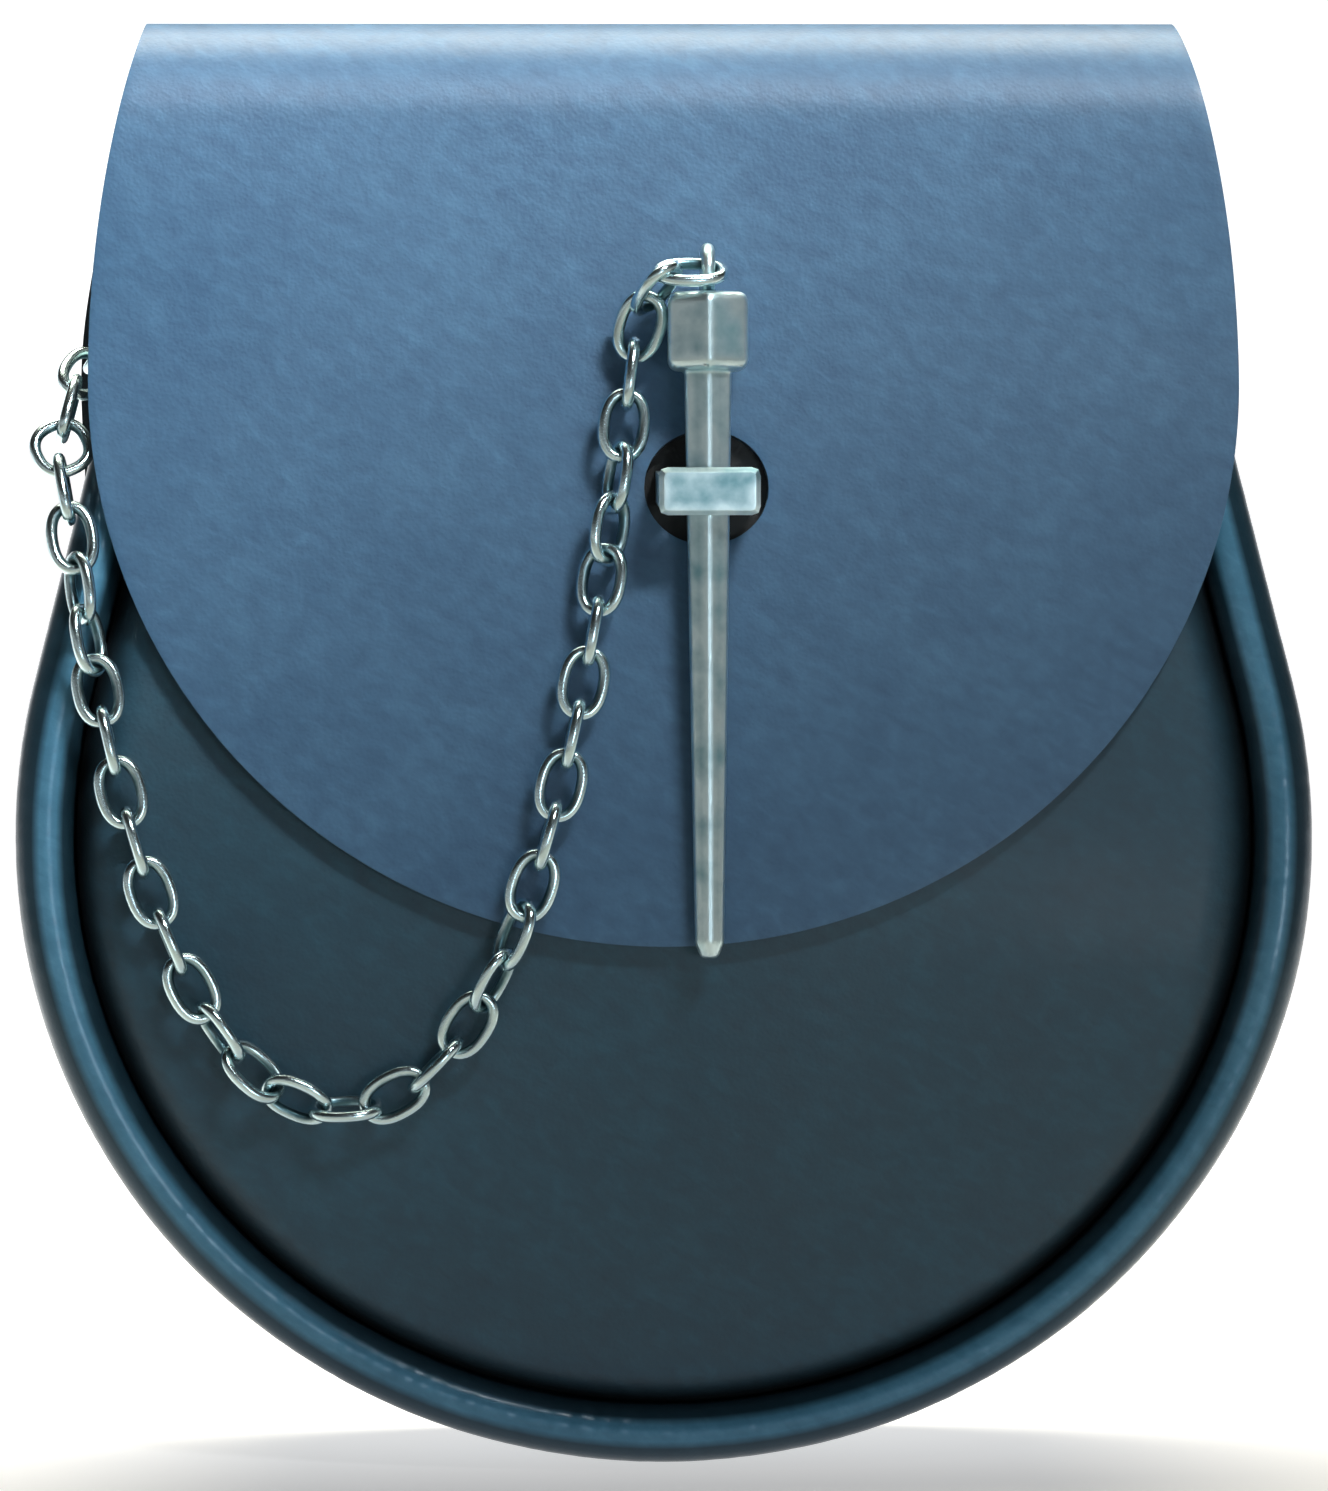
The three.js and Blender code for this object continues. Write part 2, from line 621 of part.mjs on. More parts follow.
// The gusset's section: foot on the back panel, then a wall that leans out to the piping.
function gussetSection(rim) {
  const back = FLAP_LEATHER + SEAM_GAP;
  const footFront = back + GUSSET_LEATHER;
  const front = rim - PIPING_RADIUS - SEAM_GAP;
  const middle = (back + front) / 2;
  const wallFoot = FOOT_EDGE_INSET + FOOT_WIDTH;
  const wallTop = PIPING_RADIUS - GUSSET_LEATHER / 2;
  return [
    { inset: FOOT_EDGE_INSET, depth: back },
    { inset: FOOT_EDGE_INSET, depth: footFront },
    { inset: wallFoot, depth: footFront },
    { inset: wallFoot - WALL_WAIST, depth: middle },
    { inset: wallTop, depth: front },
    { inset: wallTop + GUSSET_LEATHER, depth: front },
    { inset: wallFoot - WALL_WAIST + GUSSET_LEATHER, depth: middle },
    { inset: wallFoot + GUSSET_LEATHER, depth: back },
  ];
}

function makeGusset() {
  const rings = outlineStations(PANEL_TOP - PIPING_RADIUS).map((station) => {
    const rim = rimDepth(outlinePlace(station, PIPING_RADIUS).height);
    return gussetSection(rim).map(({ inset, depth }) => {
      const { across, height } = outlinePlace(station, inset);
      return point(across, depth, height);
    });
  });
  return loft(rings);
}

function makeFrontPiping() {
  const path = outlineStations(PANEL_TOP - PIPING_RADIUS).map((station) => {
    const { across, height } = outlinePlace(station, PIPING_RADIUS);
    const outside = outlinePlace(station, 0);
    return {
      at: point(across, rimDepth(height), height),
      out: point(outside.across - across, 0, outside.height - height).normalize(),
    };
  });
  const ring = ({ at, out }, radius) =>
    Array.from({ length: PIPING_SIDES }, (_, side) => {
      const angle = (2 * Math.PI * (side + 0.5)) / PIPING_SIDES;
      return at
        .clone()
        .addScaledVector(out, radius * Math.cos(angle))
        .addScaledVector(FRONT, radius * Math.sin(angle));
    });
  const roundEnd = (end, before) => {
    const onward = end.at.clone().sub(before.at).normalize();
    return [35, 65].map((degrees) => {
      const angle = THREE.MathUtils.degToRad(degrees);
      const at = end.at.clone().addScaledVector(onward, PIPING_RADIUS * Math.sin(angle));
      return ring({ at, out: end.out }, PIPING_RADIUS * Math.cos(angle));
    });
  };
  const body = path.map((place) => ring(place, PIPING_RADIUS));
  const start = roundEnd(path[0], path[1]).reverse();
  return loft([...start, ...body, ...roundEnd(path.at(-1), path.at(-2))]);
}

// Belt loop: one strap, drawn from the side and as wide as it is extruded.
function makeBeltLoop() {
  const inside = SEAM_GAP;
  const tab = inside + LOOP_LEATHER;
  const outside = TUNNEL_DEPTH + LOOP_LEATHER;
  const half = BELT_WIDTH / 2;
  const flat = half - LOOP_RAMP / 2;
  const end = half + LOOP_TAB;
  const rampOutside = flat + LOOP_LEATHER / 2;
  const upper = [
    [outside, rampOutside],
    [tab, half + LOOP_LEATHER],
    [tab, end],
    [inside, end],
    [inside, half],
    [TUNNEL_DEPTH, flat],
  ];
  const lower = upper.map(([out, up]) => [out, -up]).reverse();
  const outline = [...upper, ...lower].map(([out, up]) => new THREE.Vector2(out, up));
  const strap = new THREE.ExtrudeGeometry(new THREE.Shape(outline), {
    depth: LOOP_WIDTH,
    bevelEnabled: false,
  });
  const turned = new THREE.Matrix4().makeBasis(FRONT.clone().negate(), UP, RIGHT);
  return strap.applyMatrix4(turned).translate(-LOOP_WIDTH / 2, 0, LOOP_HEIGHT);
}

// Anchor: a small plate on the left wall of the gusset, with a wire loop that stands out from it.
function solveAnchor() {
  const rim = rimDepth(ANCHOR_HEIGHT);
  const section = gussetSection(rim);
  const middle = section[3];
  const front = section[4];
  const share = 0.5;
  const inset = THREE.MathUtils.lerp(middle.inset, front.inset, share);
  const depth = THREE.MathUtils.lerp(middle.depth, front.depth, share);
  const outward = new THREE.Vector3(-Math.cos(SIDE_LEAN), 0, Math.sin(SIDE_LEAN));
  const upward = new THREE.Vector3(Math.sin(SIDE_LEAN), 0, Math.cos(SIDE_LEAN));
  const lean = Math.atan2(middle.inset - front.inset, front.depth - middle.depth);
  const plateOut = outward
    .clone()
    .multiplyScalar(Math.cos(lean))
    .addScaledVector(FRONT, -Math.sin(lean));
  const wall = point(-bodyHalfWidth(ANCHOR_HEIGHT, inset), depth, ANCHOR_HEIGHT);
  const plateMiddle = SEAM_GAP + ANCHOR_PLATE_THICKNESS / 2;
  return {
    outward,
    upward,
    plateOut,
    plate: wall.clone().addScaledVector(plateOut, plateMiddle),
    loop: wall
      .clone()
      .addScaledVector(plateOut, plateMiddle + ANCHOR_PLATE_THICKNESS / 2)
      .addScaledVector(outward, ANCHOR_RADIUS + WIRE / 2 - ANCHOR_SINK),
  };
}
const anchor = solveAnchor();

// A wire bent round an oval in its own XY plane, closed on itself.
function ovalWire(length, width) {
  const squareness = 2.35;
  const rings = Array.from({ length: LINK_STEPS }, (_, step) => {
    const angle = (2 * Math.PI * (step + 0.5)) / LINK_STEPS;
    const cos = Math.cos(angle);
    const sin = Math.sin(angle);
    const along = (length - WIRE) / 2;
    const wide = (width - WIRE) / 2;
    const x = along * Math.sign(cos) * Math.abs(cos) ** (2 / squareness);
    const y = wide * Math.sign(sin) * Math.abs(sin) ** (2 / squareness);
    const out = new THREE.Vector3(
      (Math.sign(cos) * (Math.abs(x) / along) ** (squareness - 1)) / along,
      (Math.sign(sin) * (Math.abs(y) / wide) ** (squareness - 1)) / wide,
      0,
    ).normalize();
    return Array.from({ length: WIRE_SIDES }, (_, side) => {
      const turn = (2 * Math.PI * side) / WIRE_SIDES;
      return new THREE.Vector3(x, y, 0)
        .addScaledVector(out, (WIRE / 2) * Math.cos(turn))
        .addScaledVector(UP, (WIRE / 2) * Math.sin(turn));
    });
  });
  return loft(rings, true);
}

function makeChainAnchor() {
  const loop = new THREE.TorusGeometry(ANCHOR_RADIUS, WIRE / 2, 8, 16);
  const loopTurn = new THREE.Matrix4()
    .makeBasis(anchor.outward, anchor.upward, anchor.outward.clone().cross(anchor.upward))
    .setPosition(anchor.loop);
  loop.applyMatrix4(loopTurn);
  const along = anchor.plateOut.clone().cross(anchor.upward);
  const plate = new THREE.BoxGeometry(ANCHOR_PLATE_WIDTH, ANCHOR_PLATE_LENGTH, ANCHOR_PLATE_THICKNESS);
  const plateTurn = new THREE.Matrix4()
    .makeBasis(along.clone().negate(), anchor.upward, anchor.plateOut)
    .setPosition(anchor.plate);
  plate.applyMatrix4(plateTurn);
  return join([plate, loop]);
}

// Distance along the chain that one link takes up
const linkPitch = LINK_LENGTH - 2 * WIRE - LINK_PLAY;
const ringPitch = RING_SIZE - 2 * WIRE - LINK_PLAY;
const crossing = WIRE / 2 + LINK_PLAY / 2;
const linkReach = LINK_WIDTH / 2 + LINK_CLEARANCE;

// The first link lies across the top of the pin's head: one side through the eye, one in front.
// The next link hangs on its left end, a little round towards the front.
function solveFirstLink() {
  const eye = new THREE.Vector3(0, 0, eyeRise).applyMatrix4(pinFrame);
  const wide = FRONT.clone().applyAxisAngle(RIGHT, FIRST_LINK_DIP);
  const facing = RIGHT.clone().cross(wide);
  const slack = EYE_WIRE / 2 + WIRE / 2 + LINK_PLAY;
  const halfLength = (LINK_LENGTH - WIRE) / 2;
  const halfWidth = (LINK_WIDTH - WIRE) / 2;
  const centre = eye
    .clone()
    .addScaledVector(UP, FIRST_LINK_LIFT * EYE_RADIUS)
    .addScaledVector(wide, halfWidth)
    .addScaledVector(RIGHT, slack - halfLength);
  const hangsOn = centre
    .clone()
    .addScaledVector(RIGHT, -halfLength * Math.cos(FIRST_HANG_ANGLE))
    .addScaledVector(wide, halfWidth * Math.sin(FIRST_HANG_ANGLE));
  return { centre, wide, facing, hangsOn };
}
const firstLink = solveFirstLink();

// Depth that the chain's middle line needs at a place on the front of the pouch.
function chainFloor(across, height) {
  const beside = [-1, 0, 1].map((side) => across + (side * LINK_WIDTH) / 2);
  const surfaces = beside.map((x) => {
    const onFlap = Math.abs(x) < flapHalfWidth(height) + LINK_CLEARANCE && height > -FLAP_TIP_DROP;
    const onPanel = edgeDistance(x, height) > PANEL_INSET;
    if (onFlap) return flapDepth(x, height, fold.end) + linkReach;
    return onPanel ? panelDepth(x, height) + linkReach : 0;
  });
  const fromPiping = edgeDistance(across, height) - PIPING_RADIUS;
  const around = PIPING_RADIUS + linkReach;
  const overPiping = Math.sqrt(Math.max(0, around ** 2 - fromPiping ** 2));
  return Math.max(rimDepth(height) + overPiping, ...surfaces);
}

// Where the chain leans on the piping, a row of its route as a place.
function routePlace({ height, wrap, stand_off }) {
  const up = height * POUCH_RISE;
  const angle = THREE.MathUtils.degToRad(wrap);
  const around = PIPING_RADIUS + linkReach + stand_off * LINK_WIDTH;
  const out = bodyHalfWidth(up, PIPING_RADIUS) + around * Math.cos(angle);
  return point(-out, rimDepth(up) + around * Math.sin(angle), up);
}

const besideHead = {
  x: CLOSURE_ACROSS - HEAD_ACROSS_FLATS / 2 - linkReach - LINK_CLEARANCE,
  z: pin.top + HEAD_LENGTH / 2,
};
const firstPull = new THREE.Vector3(besideHead.x, firstLink.hangsOn.y, besideHead.z)
  .sub(firstLink.hangsOn)
  .normalize();
const chainStart = firstLink.hangsOn.clone().addScaledVector(firstPull, -crossing);
const routePlaces = CHAIN_ROUTE.map(routePlace);
const pull = routePlaces[0].clone().sub(anchor.loop).normalize();
const hook = pull.clone().addScaledVector(FRONT, -pull.dot(FRONT)).normalize();
const chainEnd = anchor.loop
  .clone()
  .addScaledVector(hook, ANCHOR_RADIUS)
  .addScaledVector(pull, -crossing);

// The chain's middle line for a catenary of one tightness, from the pin's eye to the anchor.
// It slips off the eye past the side of the pin's head, hangs free, and then leans on the piping.
function chainLine(tightness) {
  const steps = 160;
  const rest = routePlaces.at(-1);
  const span = besideHead.x - rest.x;
  const rise = besideHead.z - rest.z;
  const half = span / (2 * tightness);
  const low =
    (besideHead.x + rest.x) / 2 - tightness * Math.asinh(rise / (2 * tightness * Math.sinh(half)));
  const sag = (x) => tightness * Math.cosh((x - low) / tightness);
  const from = Math.sinh((besideHead.x - low) / tightness);
  const to = Math.sinh((rest.x - low) / tightness);
  const hanging = Array.from({ length: steps + 1 }, (_, step) => {
    const x = low + tightness * Math.asinh(THREE.MathUtils.lerp(from, to, step / steps));
    return { x, z: rest.z + sag(x) - sag(rest.x) };
  });
  const floors = hanging.map(({ x, z }) => chainFloor(x, z));
  const widest = 5;
  const window = (index) => Math.min(widest, index, steps - index);
  const around = (values, index) => values.slice(index - window(index), index + window(index) + 1);
  const raised = floors.map((_, index) => Math.max(...around(floors, index)));
  const line = hanging.map(({ x, z }, index) => {
    const near = around(raised, index);
    return point(x, near.reduce((sum, value) => sum + value, 0) / near.length, z);
  });
  const slipping = new THREE.CatmullRomCurve3([chainStart, line[0], line[6]], false, "centripetal");
  const leaning = new THREE.CatmullRomCurve3([...routePlaces].reverse().concat(chainEnd), false, "centripetal");
  const upper = slipping.getPoints(40).filter((place) => place.z > line[0].z);
  return {
    places: [...upper, ...line, ...leaning.getPoints(60).slice(1)],
    lowest: Math.min(...hanging.map(({ z }) => z)),
  };
}

function lineLength(places) {
  return places.slice(1).reduce((sum, place, index) => sum + place.distanceTo(places[index]), 0);
}

// The value between two bounds at which a falling measure reaches its target.
function bisect(low, high, target, measure) {
  let [from, to] = [low, high];
  for (let round = 0; round < 40; round++) {
    const middle = (from + to) / 2;
    if (measure(middle) > target) from = middle;
    else to = middle;
  }
  return (from + to) / 2;
}

// As many links as the sag asks for, and then the sag that this many links really have.
function solveChain() {
  const loose = 0.06 * BODY_HALF_WIDTH;
  const tight = 3 * BODY_HALF_WIDTH;
  const wished = bisect(loose, tight, CHAIN_LOW_POINT, (value) => -chainLine(value).lowest);
  const count = Math.round((lineLength(chainLine(wished).places) - ringPitch) / linkPitch);
  const length = count * linkPitch + ringPitch;
  const places = chainLine(bisect(loose, tight, length, (value) => lineLength(chainLine(value).places))).places;
  return { count, places };
}
const chain = solveChain();

function placeAlong(places, distance) {
  let left = distance;
  for (let index = 1; index < places.length; index++) {
    const step = places[index].distanceTo(places[index - 1]);
    if (left <= step) return places[index - 1].clone().lerp(places[index], left / step);
    left -= step;
  }
  return places.at(-1).clone();
}

function twistOf(link) {
  const after = CHAIN_TWIST.findIndex((row) => row.link >= link);
  if (after < 0) return CHAIN_TWIST.at(-1).turn;
  if (after === 0) return CHAIN_TWIST[0].turn;
  const [from, to] = [CHAIN_TWIST[after - 1], CHAIN_TWIST[after]];
  return THREE.MathUtils.mapLinear(link, from.link, to.link, from.turn, to.turn);
}

// How a link lies between two joints: its length, its facing direction and its place.
function linkFrame(from, to, turn) {
  const along = to.clone().sub(from).normalize();
  const facing = FRONT.clone().addScaledVector(along, -FRONT.dot(along)).normalize();
  facing.applyAxisAngle(along, THREE.MathUtils.degToRad(turn));
  const wide = facing.clone().cross(along);
  return new THREE.Matrix4().makeBasis(along, wide, facing).setPosition(from.clone().lerp(to, 0.5));
}

// The turn that the last link still needs to stand square to the anchor's loop, a quarter at most.
function turnLeft(frame) {
  const [along, wide, facing] = [0, 1, 2].map((axis) => new THREE.Vector3().setFromMatrixColumn(frame, axis));
  const loopWire = anchor.outward.clone().cross(anchor.upward).cross(hook);
  const square = along.cross(loopWire).normalize();
  const turn = THREE.MathUtils.radToDeg(Math.atan2(square.dot(facing), square.dot(wide)));
  return turn - 180 * Math.round(turn / 180);
}

// Links hang between joints on the chain's line, with the round ring among them.
function makeLinks() {
  const made = [
    {
      name: "link_01",
      geometry: ovalWire(LINK_LENGTH, LINK_WIDTH),
      frame: new THREE.Matrix4()
        .makeBasis(RIGHT, firstLink.wide, firstLink.facing)
        .setPosition(firstLink.centre),
    },
  ];
  const ringIndex = chain.count + 1 - LINKS_ABOVE_RING;
  const joints = [0];
  for (let index = 1; index <= chain.count + 1; index++) {
    joints.push(joints.at(-1) + (index === ringIndex ? ringPitch : linkPitch));
  }
  const places = joints.map((distance) => placeAlong(chain.places, distance));
  const lastNumber = joints.length;
  const turnOf = (number) => 90 * (number - FACING_LINK) + twistOf(number);
  const lastFrame = linkFrame(places.at(-2), places.at(-1), turnOf(lastNumber));
  const settling = CHAIN_TWIST.at(-1).link;
  for (let index = 1; index < joints.length; index++) {
    const number = index + 1;
    const settled = clamp01((number - settling) / (lastNumber - settling));
    const isRing = index === ringIndex;
    const label = String(index < ringIndex ? number : index).padStart(2, "0");
    made.push({
      name: isRing ? "end_ring" : "link_" + label,
      geometry: isRing ? ovalWire(RING_SIZE, RING_SIZE) : ovalWire(LINK_LENGTH, LINK_WIDTH),
      frame: linkFrame(places[index - 1], places[index], turnOf(number) + settled * turnLeft(lastFrame)),
    });
  }
  return made;
}

const flapFinish = new THREE.MeshStandardMaterial({ color: 0x4a6580, roughness: 0.42, metalness: 0 });
const panelFinish = new THREE.MeshStandardMaterial({ color: 0x2c414b, roughness: 0.5, metalness: 0 });
const pipingFinish = new THREE.MeshStandardMaterial({ color: 0x21343c, roughness: 0.35, metalness: 0 });
const metalFinish = new THREE.MeshStandardMaterial({ color: 0x7f98a0, roughness: 0.38, metalness: 1 });

const sporran = new THREE.Group();
const placed = new THREE.Group();
placed.position.set(0, -TUNNEL_DEPTH / 2, -LOOP_HEIGHT);
sporran.add(placed);

function addPiece(name, geometry, finish, frame) {
  const mesh = new THREE.Mesh(geometry, finish);
  mesh.name = name;
  if (frame) frame.decompose(mesh.position, mesh.quaternion, mesh.scale);
  placed.add(mesh);
}

addPiece("back_and_flap", makeBackAndFlap(), flapFinish);
addPiece("front_panel", makeFrontPanel(), panelFinish);
addPiece("gusset", makeGusset(), panelFinish);
addPiece("front_piping", makeFrontPiping(), pipingFinish);
addPiece("belt_loop", makeBeltLoop(), panelFinish);
addPiece("staple", makeStaple(), metalFinish);
addPiece("closure_pin", makePin(), metalFinish, pinFrame);
addPiece("chain_anchor", makeChainAnchor(), metalFinish);
for (const { name, geometry, frame } of makeLinks()) {
  addPiece(name, geometry, metalFinish, frame);
}

export default sporran;
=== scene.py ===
# %% [markdown]
# # A sporran pouch in waxed leather, with a pin on a chain
# The real thing is a round leather pouch that hangs from a belt. Its flap closes over a metal
# staple, and a hexagonal pin goes behind the staple's bar. This lesson starts from a measured
# frame of solids, one for each piece, and gives every piece its fine surface and its finish.

# %% Load the measured frame
import math
import bmesh
import bpy
import numpy as np
from mathutils import Matrix, Vector, noise


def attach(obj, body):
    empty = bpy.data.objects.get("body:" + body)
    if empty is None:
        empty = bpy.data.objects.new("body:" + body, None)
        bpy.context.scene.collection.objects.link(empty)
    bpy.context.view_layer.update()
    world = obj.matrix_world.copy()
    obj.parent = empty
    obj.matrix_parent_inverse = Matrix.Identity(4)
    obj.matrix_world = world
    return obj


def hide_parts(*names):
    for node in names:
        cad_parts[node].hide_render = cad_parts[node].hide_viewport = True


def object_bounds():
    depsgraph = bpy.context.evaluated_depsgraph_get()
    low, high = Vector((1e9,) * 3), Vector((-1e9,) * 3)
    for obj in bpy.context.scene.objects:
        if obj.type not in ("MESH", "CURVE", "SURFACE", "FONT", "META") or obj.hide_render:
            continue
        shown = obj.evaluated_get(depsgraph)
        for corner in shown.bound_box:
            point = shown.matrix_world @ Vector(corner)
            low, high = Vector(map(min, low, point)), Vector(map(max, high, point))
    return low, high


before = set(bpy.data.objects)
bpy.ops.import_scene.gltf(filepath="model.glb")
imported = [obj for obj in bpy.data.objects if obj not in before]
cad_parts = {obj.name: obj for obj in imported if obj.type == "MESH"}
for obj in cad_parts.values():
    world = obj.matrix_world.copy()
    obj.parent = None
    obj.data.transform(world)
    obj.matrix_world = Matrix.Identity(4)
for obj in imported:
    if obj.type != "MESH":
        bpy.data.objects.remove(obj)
frame_low, frame_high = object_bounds()
print("frame holds", len(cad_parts), "solids, size in mm:",
      [round(1000 * side, 1) for side in frame_high - frame_low])

# %% [markdown]
# ## Where the camera stands
# Product photographs of flat things are taken from far away with a long lens, so that parallel
# edges stay parallel. The camera here is 1.1 m away, a little to the left and a little above.

# %% Camera
MM = 0.001
CAMERA_DISTANCE = 1.1
CAMERA_TURN = math.radians(-2.0)  # from straight ahead; negative is to the left
CAMERA_RISE = math.radians(4.5)
FRAME_HEIGHT = 219.3 * MM  # what the picture spans at the pouch
AIM = Vector((-0.1 * MM, -38 * MM, -46.8 * MM))

camera_data = bpy.data.cameras.new("camera")
camera_data.sensor_width = 36
camera_data.lens = 36 * CAMERA_DISTANCE / FRAME_HEIGHT
camera = bpy.data.objects.new("camera", camera_data)
bpy.context.scene.collection.objects.link(camera)
bpy.context.scene.camera = camera
backwards = Vector((
    math.sin(CAMERA_TURN) * math.cos(CAMERA_RISE),
    -math.cos(CAMERA_TURN) * math.cos(CAMERA_RISE),
    math.sin(CAMERA_RISE),
))
camera.location = AIM + backwards * CAMERA_DISTANCE
camera.rotation_euler = backwards.to_track_quat("Z", "Y").to_euler()
print("lens", round(camera_data.lens, 1), "mm")

# %% [markdown]
# ## Small helpers for colours, nodes and meshes
# Colours are picked as sRGB hex values, because that is what an eye and a colour picker read, and
# shaders want linear light. One function adds a node together with its settings and links.

# %% Helpers
def linear(hex_colour):
    """An sRGB hex colour as linear red, green, blue and alpha."""
    values = [int(hex_colour[at:at + 2], 16) / 255 for at in (1, 3, 5)]
    return (*[v / 12.92 if v <= 0.04045 else ((v + 0.055) / 1.055) ** 2.4 for v in values], 1.0)


def add_node(tree, kind, inputs=None, **settings):
    """Adds a node. settings are its own properties, and inputs are values or links for its sockets."""
    node = tree.nodes.new(kind)
    for name, value in settings.items():
        setattr(node, name, value)
    for socket, value in (inputs or {}).items():
        if isinstance(value, bpy.types.NodeSocket):
            tree.links.new(value, node.inputs[socket])
        else:
            node.inputs[socket].default_value = value
    return node


def new_material(name):
    """An empty node material with its output, and the object's own coordinates in metres."""
    material = bpy.data.materials.new(name)
    material.use_nodes = True
    tree = material.node_tree
    tree.nodes.clear()
    output = add_node(tree, "ShaderNodeOutputMaterial")
    place = add_node(tree, "ShaderNodeTexCoord").outputs["Object"]
    return material, tree, output, place


def colour_steps(tree, value, steps):
    """A colour ramp from (position, hex colour) pairs."""
    node = add_node(tree, "ShaderNodeValToRGB", {"Fac": value})
    ramp = node.color_ramp
    while len(ramp.elements) < len(steps):
        ramp.elements.new(0.5)
    for element, (position, hex_colour) in zip(ramp.elements, steps):
        element.position = position
        element.color = linear(hex_colour)
    return node.outputs["Color"]


def per_metre(size_mm):
    """Pattern scale for a texture whose features are this many millimetres apart."""
    return 1000.0 / size_mm


# %% [markdown]
# ## Leather
# The pouch is vegetable-tanned cow leather, dyed and finished with wax. Wax fills the grain, so the
# surface is smooth with a soft, broad shine; what is left to see is a fine pebble of about half a
# millimetre, slow clouds where the dye took unevenly, and short shallow creases that run slantwise.
# A mesh can carry a "groove" value that darkens its colour towards near black: painted shade in seams and
# hollows.
# Leather's index of refraction is about 1.5. Its roughness is near 0.5, and nearer 0.3 where hands
# have polished the wax.

# %% Waxed leather
DYE_CLOUDS = 24.0  # millimetres from one cloud of the dye to the next
DYE_MOTTLE = 2.6
CREASE_SPACING = 3.6
CREASE_SLANT = 0.55  # in radians from level
PORE_SPACING = 0.9


def waxed_leather(name, dark, middle, light, roughness, grain_mm=0.55, crease=0.45, wax=0.05,
                  gleam="#ffffff", relief_mm=0.3):
    """crease is its share of the relief, wax the strength of a clear coat, gleam the shine's tint."""
    material, tree, output, place = new_material(name)
    clouds = add_node(tree, "ShaderNodeTexNoise", {
        "Vector": place, "Scale": per_metre(DYE_CLOUDS), "Detail": 5.0, "Roughness": 0.6,
    })
    mottle = add_node(tree, "ShaderNodeTexNoise", {
        "Vector": place, "Scale": per_metre(DYE_MOTTLE), "Detail": 4.0, "Roughness": 0.65,
    })
    dye = add_node(tree, "ShaderNodeMix", {
        0: 0.45, 2: clouds.outputs["Fac"], 3: mottle.outputs["Fac"],
    }, data_type="FLOAT")
    stretched = add_node(tree, "ShaderNodeMapping", {
        "Vector": place, "Rotation": (0, CREASE_SLANT, 0), "Scale": (1.25, 1.25, 0.6),
    }, vector_type="TEXTURE")
    creases = add_node(tree, "ShaderNodeTexNoise", {
        "Vector": stretched.outputs["Vector"], "Scale": per_metre(CREASE_SPACING), "Detail": 5.0,
        "Distortion": 0.5,
    })
    # The crease pattern mixed into the dye makes the colour darker where the creases dip: painted shade,
    # mixed with the dye's random tone.
    dye_and_crease_shade = add_node(tree, "ShaderNodeMix", {
        0: 0.4, 2: dye.outputs[0], 3: creases.outputs["Fac"],
    }, data_type="FLOAT")
    dyed = colour_steps(tree, dye_and_crease_shade.outputs[0], [(0.36, dark), (0.5, middle), (0.64, light)])
    # painted shade: the "groove" value darkens the colour towards near black where shade falls
    seam = add_node(tree, "ShaderNodeAttribute", attribute_name="groove")
    colour = add_node(tree, "ShaderNodeMix", {
        0: seam.outputs["Fac"], 6: dyed, 7: linear("#04080a"),
    }, data_type="RGBA").outputs[2]
    pebble = add_node(tree, "ShaderNodeTexVoronoi", {
        "Vector": place, "Scale": per_metre(grain_mm), "Randomness": 1.0,
    }, feature="SMOOTH_F1")
    fine = add_node(tree, "ShaderNodeTexNoise", {
        "Vector": place, "Scale": per_metre(PORE_SPACING), "Detail": 3.0,
    })
    grain = add_node(tree, "ShaderNodeMix", {
        0: 0.5, 2: pebble.outputs["Distance"], 3: fine.outputs["Fac"],
    }, data_type="FLOAT")
    relief = add_node(tree, "ShaderNodeMix", {
        0: crease, 2: grain.outputs[0], 3: creases.outputs["Fac"],
    }, data_type="FLOAT")
    bump = add_node(tree, "ShaderNodeBump", {
        "Height": relief.outputs[0], "Strength": 0.5, "Distance": relief_mm * MM,
    })
    shine = add_node(tree, "ShaderNodeMapRange", {
        "Value": dye.outputs[0], "From Min": 0.3, "From Max": 0.7,
        "To Min": roughness - 0.05, "To Max": roughness + 0.07,
    })
    skin = add_node(tree, "ShaderNodeBsdfPrincipled", {
        "Base Color": colour, "Roughness": shine.outputs["Result"], "Normal": bump.outputs["Normal"],
        "IOR": 1.5, "Specular Tint": linear(gleam),
        "Coat Weight": wax, "Coat Roughness": 0.2, "Coat IOR": 1.55,
    })
    tree.links.new(skin.outputs["BSDF"], output.inputs["Surface"])
    return material


flap_leather = waxed_leather("waxed_leather_blue_grey", "#2d5271", "#365c7b", "#3f6786", 0.5)
# The panel and gusset use the flap's leather painted darker and a little tealer: the darkness is painted
# shade.
panel_leather = waxed_leather("waxed_leather_slate_painted_shade", "#17394a", "#1b4152", "#214c5e", 0.5)
# The piping's light base colour is a painted highlight along its crown; its sides are painted dark as shade
# through the "groove" value.
piping_leather = waxed_leather(
    "rolled_leather_painted_crown_highlight", "#3f6f88", "#487b95", "#5488a3", 0.34,
    grain_mm=0.5, crease=0.4, wax=0.35, gleam="#a8d4f2", relief_mm=0.12,
)
sewn_strap = waxed_leather("waxed_leather_belt_loop", "#24343e", "#2b3e49", "#344a56", 0.5)
print("leathers:", flap_leather.name, panel_leather.name, piping_leather.name, sewn_strap.name)

# %% [markdown]
# A hide has two sides and an edge. The flesh side is rough and matt like suede. A cut edge is
# rubbed with wax until it is dark and smooth, which leather workers call burnishing.

